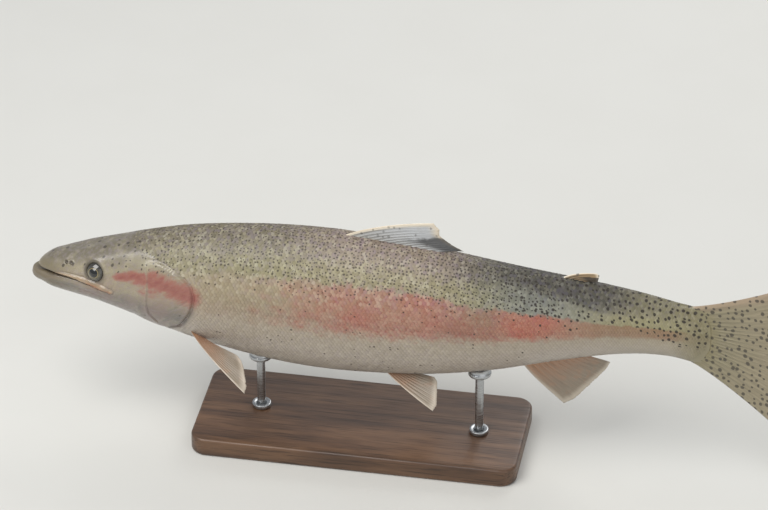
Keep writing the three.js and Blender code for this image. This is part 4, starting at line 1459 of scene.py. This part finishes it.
def finMaterial(name, spots):
    tones = finTones[name]
    material, tree, shader = newMaterial("fin " + name, Roughness=0.42, Coat_Weight=0.35, Coat_Roughness=0.2)
    a, t, relief = axesOf(attributeOf(tree, "finPlan"))
    place = attributeOf(tree, "finPlace")
    streaks = cloud(joined(times(a, 60.0), times(t, 2.5), axesOf(place)[2]), 1.0, 3.0)
    mottle = cloud(place, 1.3, 3.0)
    rim = larger(step(t, 0.86, 1.0), step(a, 0.07, 0.0))
    # painted shadow over the rear rays, where they lie folded
    behind = plus(a, times(minus(mottle, 0.5), 0.3))
    behind = times(step(behind, tones["shadowFrom"], tones["shadowFrom"] + 0.14), step(t, 0.25, 0.6))
    share = times(step(t, 1.0, 0.7, 0.2, 1.0), tones["spots"])
    ink = useGroup(spots, Plan=place, Apart=tones["spotSize"], Radius=0.26, Share=share, Shift=2.9)["Mask"]
    colour = mixed(step(t, 0.1, 0.8), tones["low"], tones["high"])
    dress(shader, Base_Color=layered(colour, tones, (
        (step(t, 0.2, 0.02), "foot"),
        (times(step(streaks, 0.4, 0.65), 0.35), "ray"),
        (times(step(relief, 0.75, 0.3), 0.25), "high"),
        (times(step(mottle, 0.5, 0.7), 0.3), "low"),
        # light edges; on the adipose fin this rim is a painted highlight
        (times(rim, 0.75), "rim"),
        (times(behind, 0.85), "rear"),
        (times(ink, tones["ink"]), "spot"),
    )))
    along = {"Vector": joined(times(t, 9.0), 0.0, 0.0), "Scale": 2.2, "Distortion": 1.2}
    joints = addNode("TexWave", along, wave_profile="SIN").outputs["Fac"]
    addBump(shader, plus(times(joints, relief), times(streaks, 0.8)), 0.00022, 0.7)
    return material


def eyeMaterial():
    look = eyeLook
    pupil, ring = look["pupil"], look["ring"]
    material, tree, shader = newMaterial("trout eye", Roughness=0.12, Coat_Weight=1.0, Coat_Roughness=0.02)
    x, y = axesOf(attributeOf(tree, "eyePlan"))[:2]
    drawn = times(x, step(x, -1.0, 1.0, 1.0 / look["pupilLong"], 1.0))
    r = maths("SQRT", plus(maths("POWER", drawn, 2.0), maths("POWER", y, 2.0)))
    flecks = cloud(joined(x, y, 0.0), 1.4, 4.0, 0.65)
    dress(shader, Base_Color=layered(ramp(flecks, look["irisTones"]), look, (
        (times(step(y, -2.0, 7.0), 0.75), "shadow"),
        (step(r, look["iris"] - 1.2, look["iris"] + 0.4), "outer"),
        (times(step(r, pupil - 0.1, pupil + 0.1), step(r, ring + 0.3, ring - 0.2), 0.55), "gold"),
        (step(r, pupil + 0.12, pupil - 0.12), "black"),
    )))
    addBump(shader, flecks, 0.0001, 0.25)
    return material


standLook = {
    "wood": [(0.3, "#3a281c"), (0.48, "#5a402d"), (0.6, "#6d5039"), (0.72, "#4a3424")],
    "pore": "#22170f",
    "steel": [(0.3, "#a3a5a7"), (0.7, "#c2c4c5")],
}


def woodMaterial():
    material, tree, shader = newMaterial("oiled walnut", Coat_Weight=0.2, Coat_Roughness=0.3)
    place = placeIn(tree)
    grain = cloud(stretched(place, (2.2, 22.0, 22.0)), 3.2, 5.0, 0.62)
    pores = cloud(stretched(place, (14.0, 420.0, 420.0)), 1.6, 2.0)
    colour = mixed(times(step(pores, 0.56, 0.66), 0.55), ramp(grain, standLook["wood"]), standLook["pore"])
    dress(shader, Base_Color=colour, Roughness=step(pores, 0.4, 0.65, 0.38, 0.55))
    addBump(shader, pores, 0.0002, 0.5)
    return material


def steelMaterial():
    material, tree, shader = newMaterial("brushed steel", Metallic=1.0)
    brushed = cloud(stretched(placeIn(tree), (90.0, 90.0, 2600.0)), 1.0, 2.0)
    dress(shader, Base_Color=ramp(brushed, standLook["steel"]), Roughness=step(brushed, 0.3, 0.7, 0.24, 0.4))
    addBump(shader, brushed, 0.00004, 0.5)
    return material


def addFloor():
    material, tree, shader = newMaterial("pale floor", Roughness=0.8)
    share = times(step(cloud(placeIn(tree), 9.0, 4.0), 0.3, 0.7), 0.06)
    dress(shader, Base_Color=mixed(share, studio["floorTone"], studio["floorGrain"]))
    bm = bmesh.new()
    bmesh.ops.create_grid(bm, x_segments=4, y_segments=4, size=studio["floorSize"] / 2)
    addObject("floor", meshOf(bm, "floor"), material)


# Making

spots = spotLayer()
markings = markingGroup(spots)
skinMaterial = wetSkinMaterial(markings)
scalesMaterial = scaleMaterial(markings)
print("materials made")

addFloor()
skin = buildSkin(skinMaterial)
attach(skin, "root")
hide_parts("head", "lower_jaw", "maxilla_left", "maxilla_right", "gill_cover_left", "gill_cover_right",
            "trunk_front", "trunk_middle", "trunk_rear", "tail_stem")
print("skin:", len(skin.data.polygons), "faces")

for piece in buildCoat(scalesMaterial):
    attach(piece, "root")
    print(piece.name + ":", len(piece.data.polygons), "faces")


def placePart(piece, node):
    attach(piece, "root")
    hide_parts(node)


finMaterials = {name: finMaterial(name, spots) for name in finTones}
fins = {name: buildMiddleFin(name, finMaterials[form["tones"]]) for name, form in finForms.items()}
fins["tail_fin"] = buildTail(finMaterials["tail"])
for name in pairedForms:
    for side in ("left", "right"):
        fins[name + "_" + side] = buildPairedFin(name, side, finMaterials["paired"])
for node, piece in fins.items():
    placePart(piece, node)
print("fins:", len(fins))

glassEye = eyeMaterial()
for side in ("left", "right"):
    placePart(buildEye(side, glassEye), "eye_" + side)
print("eyes set")

steel = steelMaterial()
placePart(buildBase(woodMaterial()), "stand_base")
for name in standForm["rods"]:
    for piece, node in zip(buildRodSet(name, steel), ("stand_rod_", "stand_collar_", "stand_saddle_")):
        placePart(piece, node + name)
print("stand made")

bpy.context.view_layer.update()
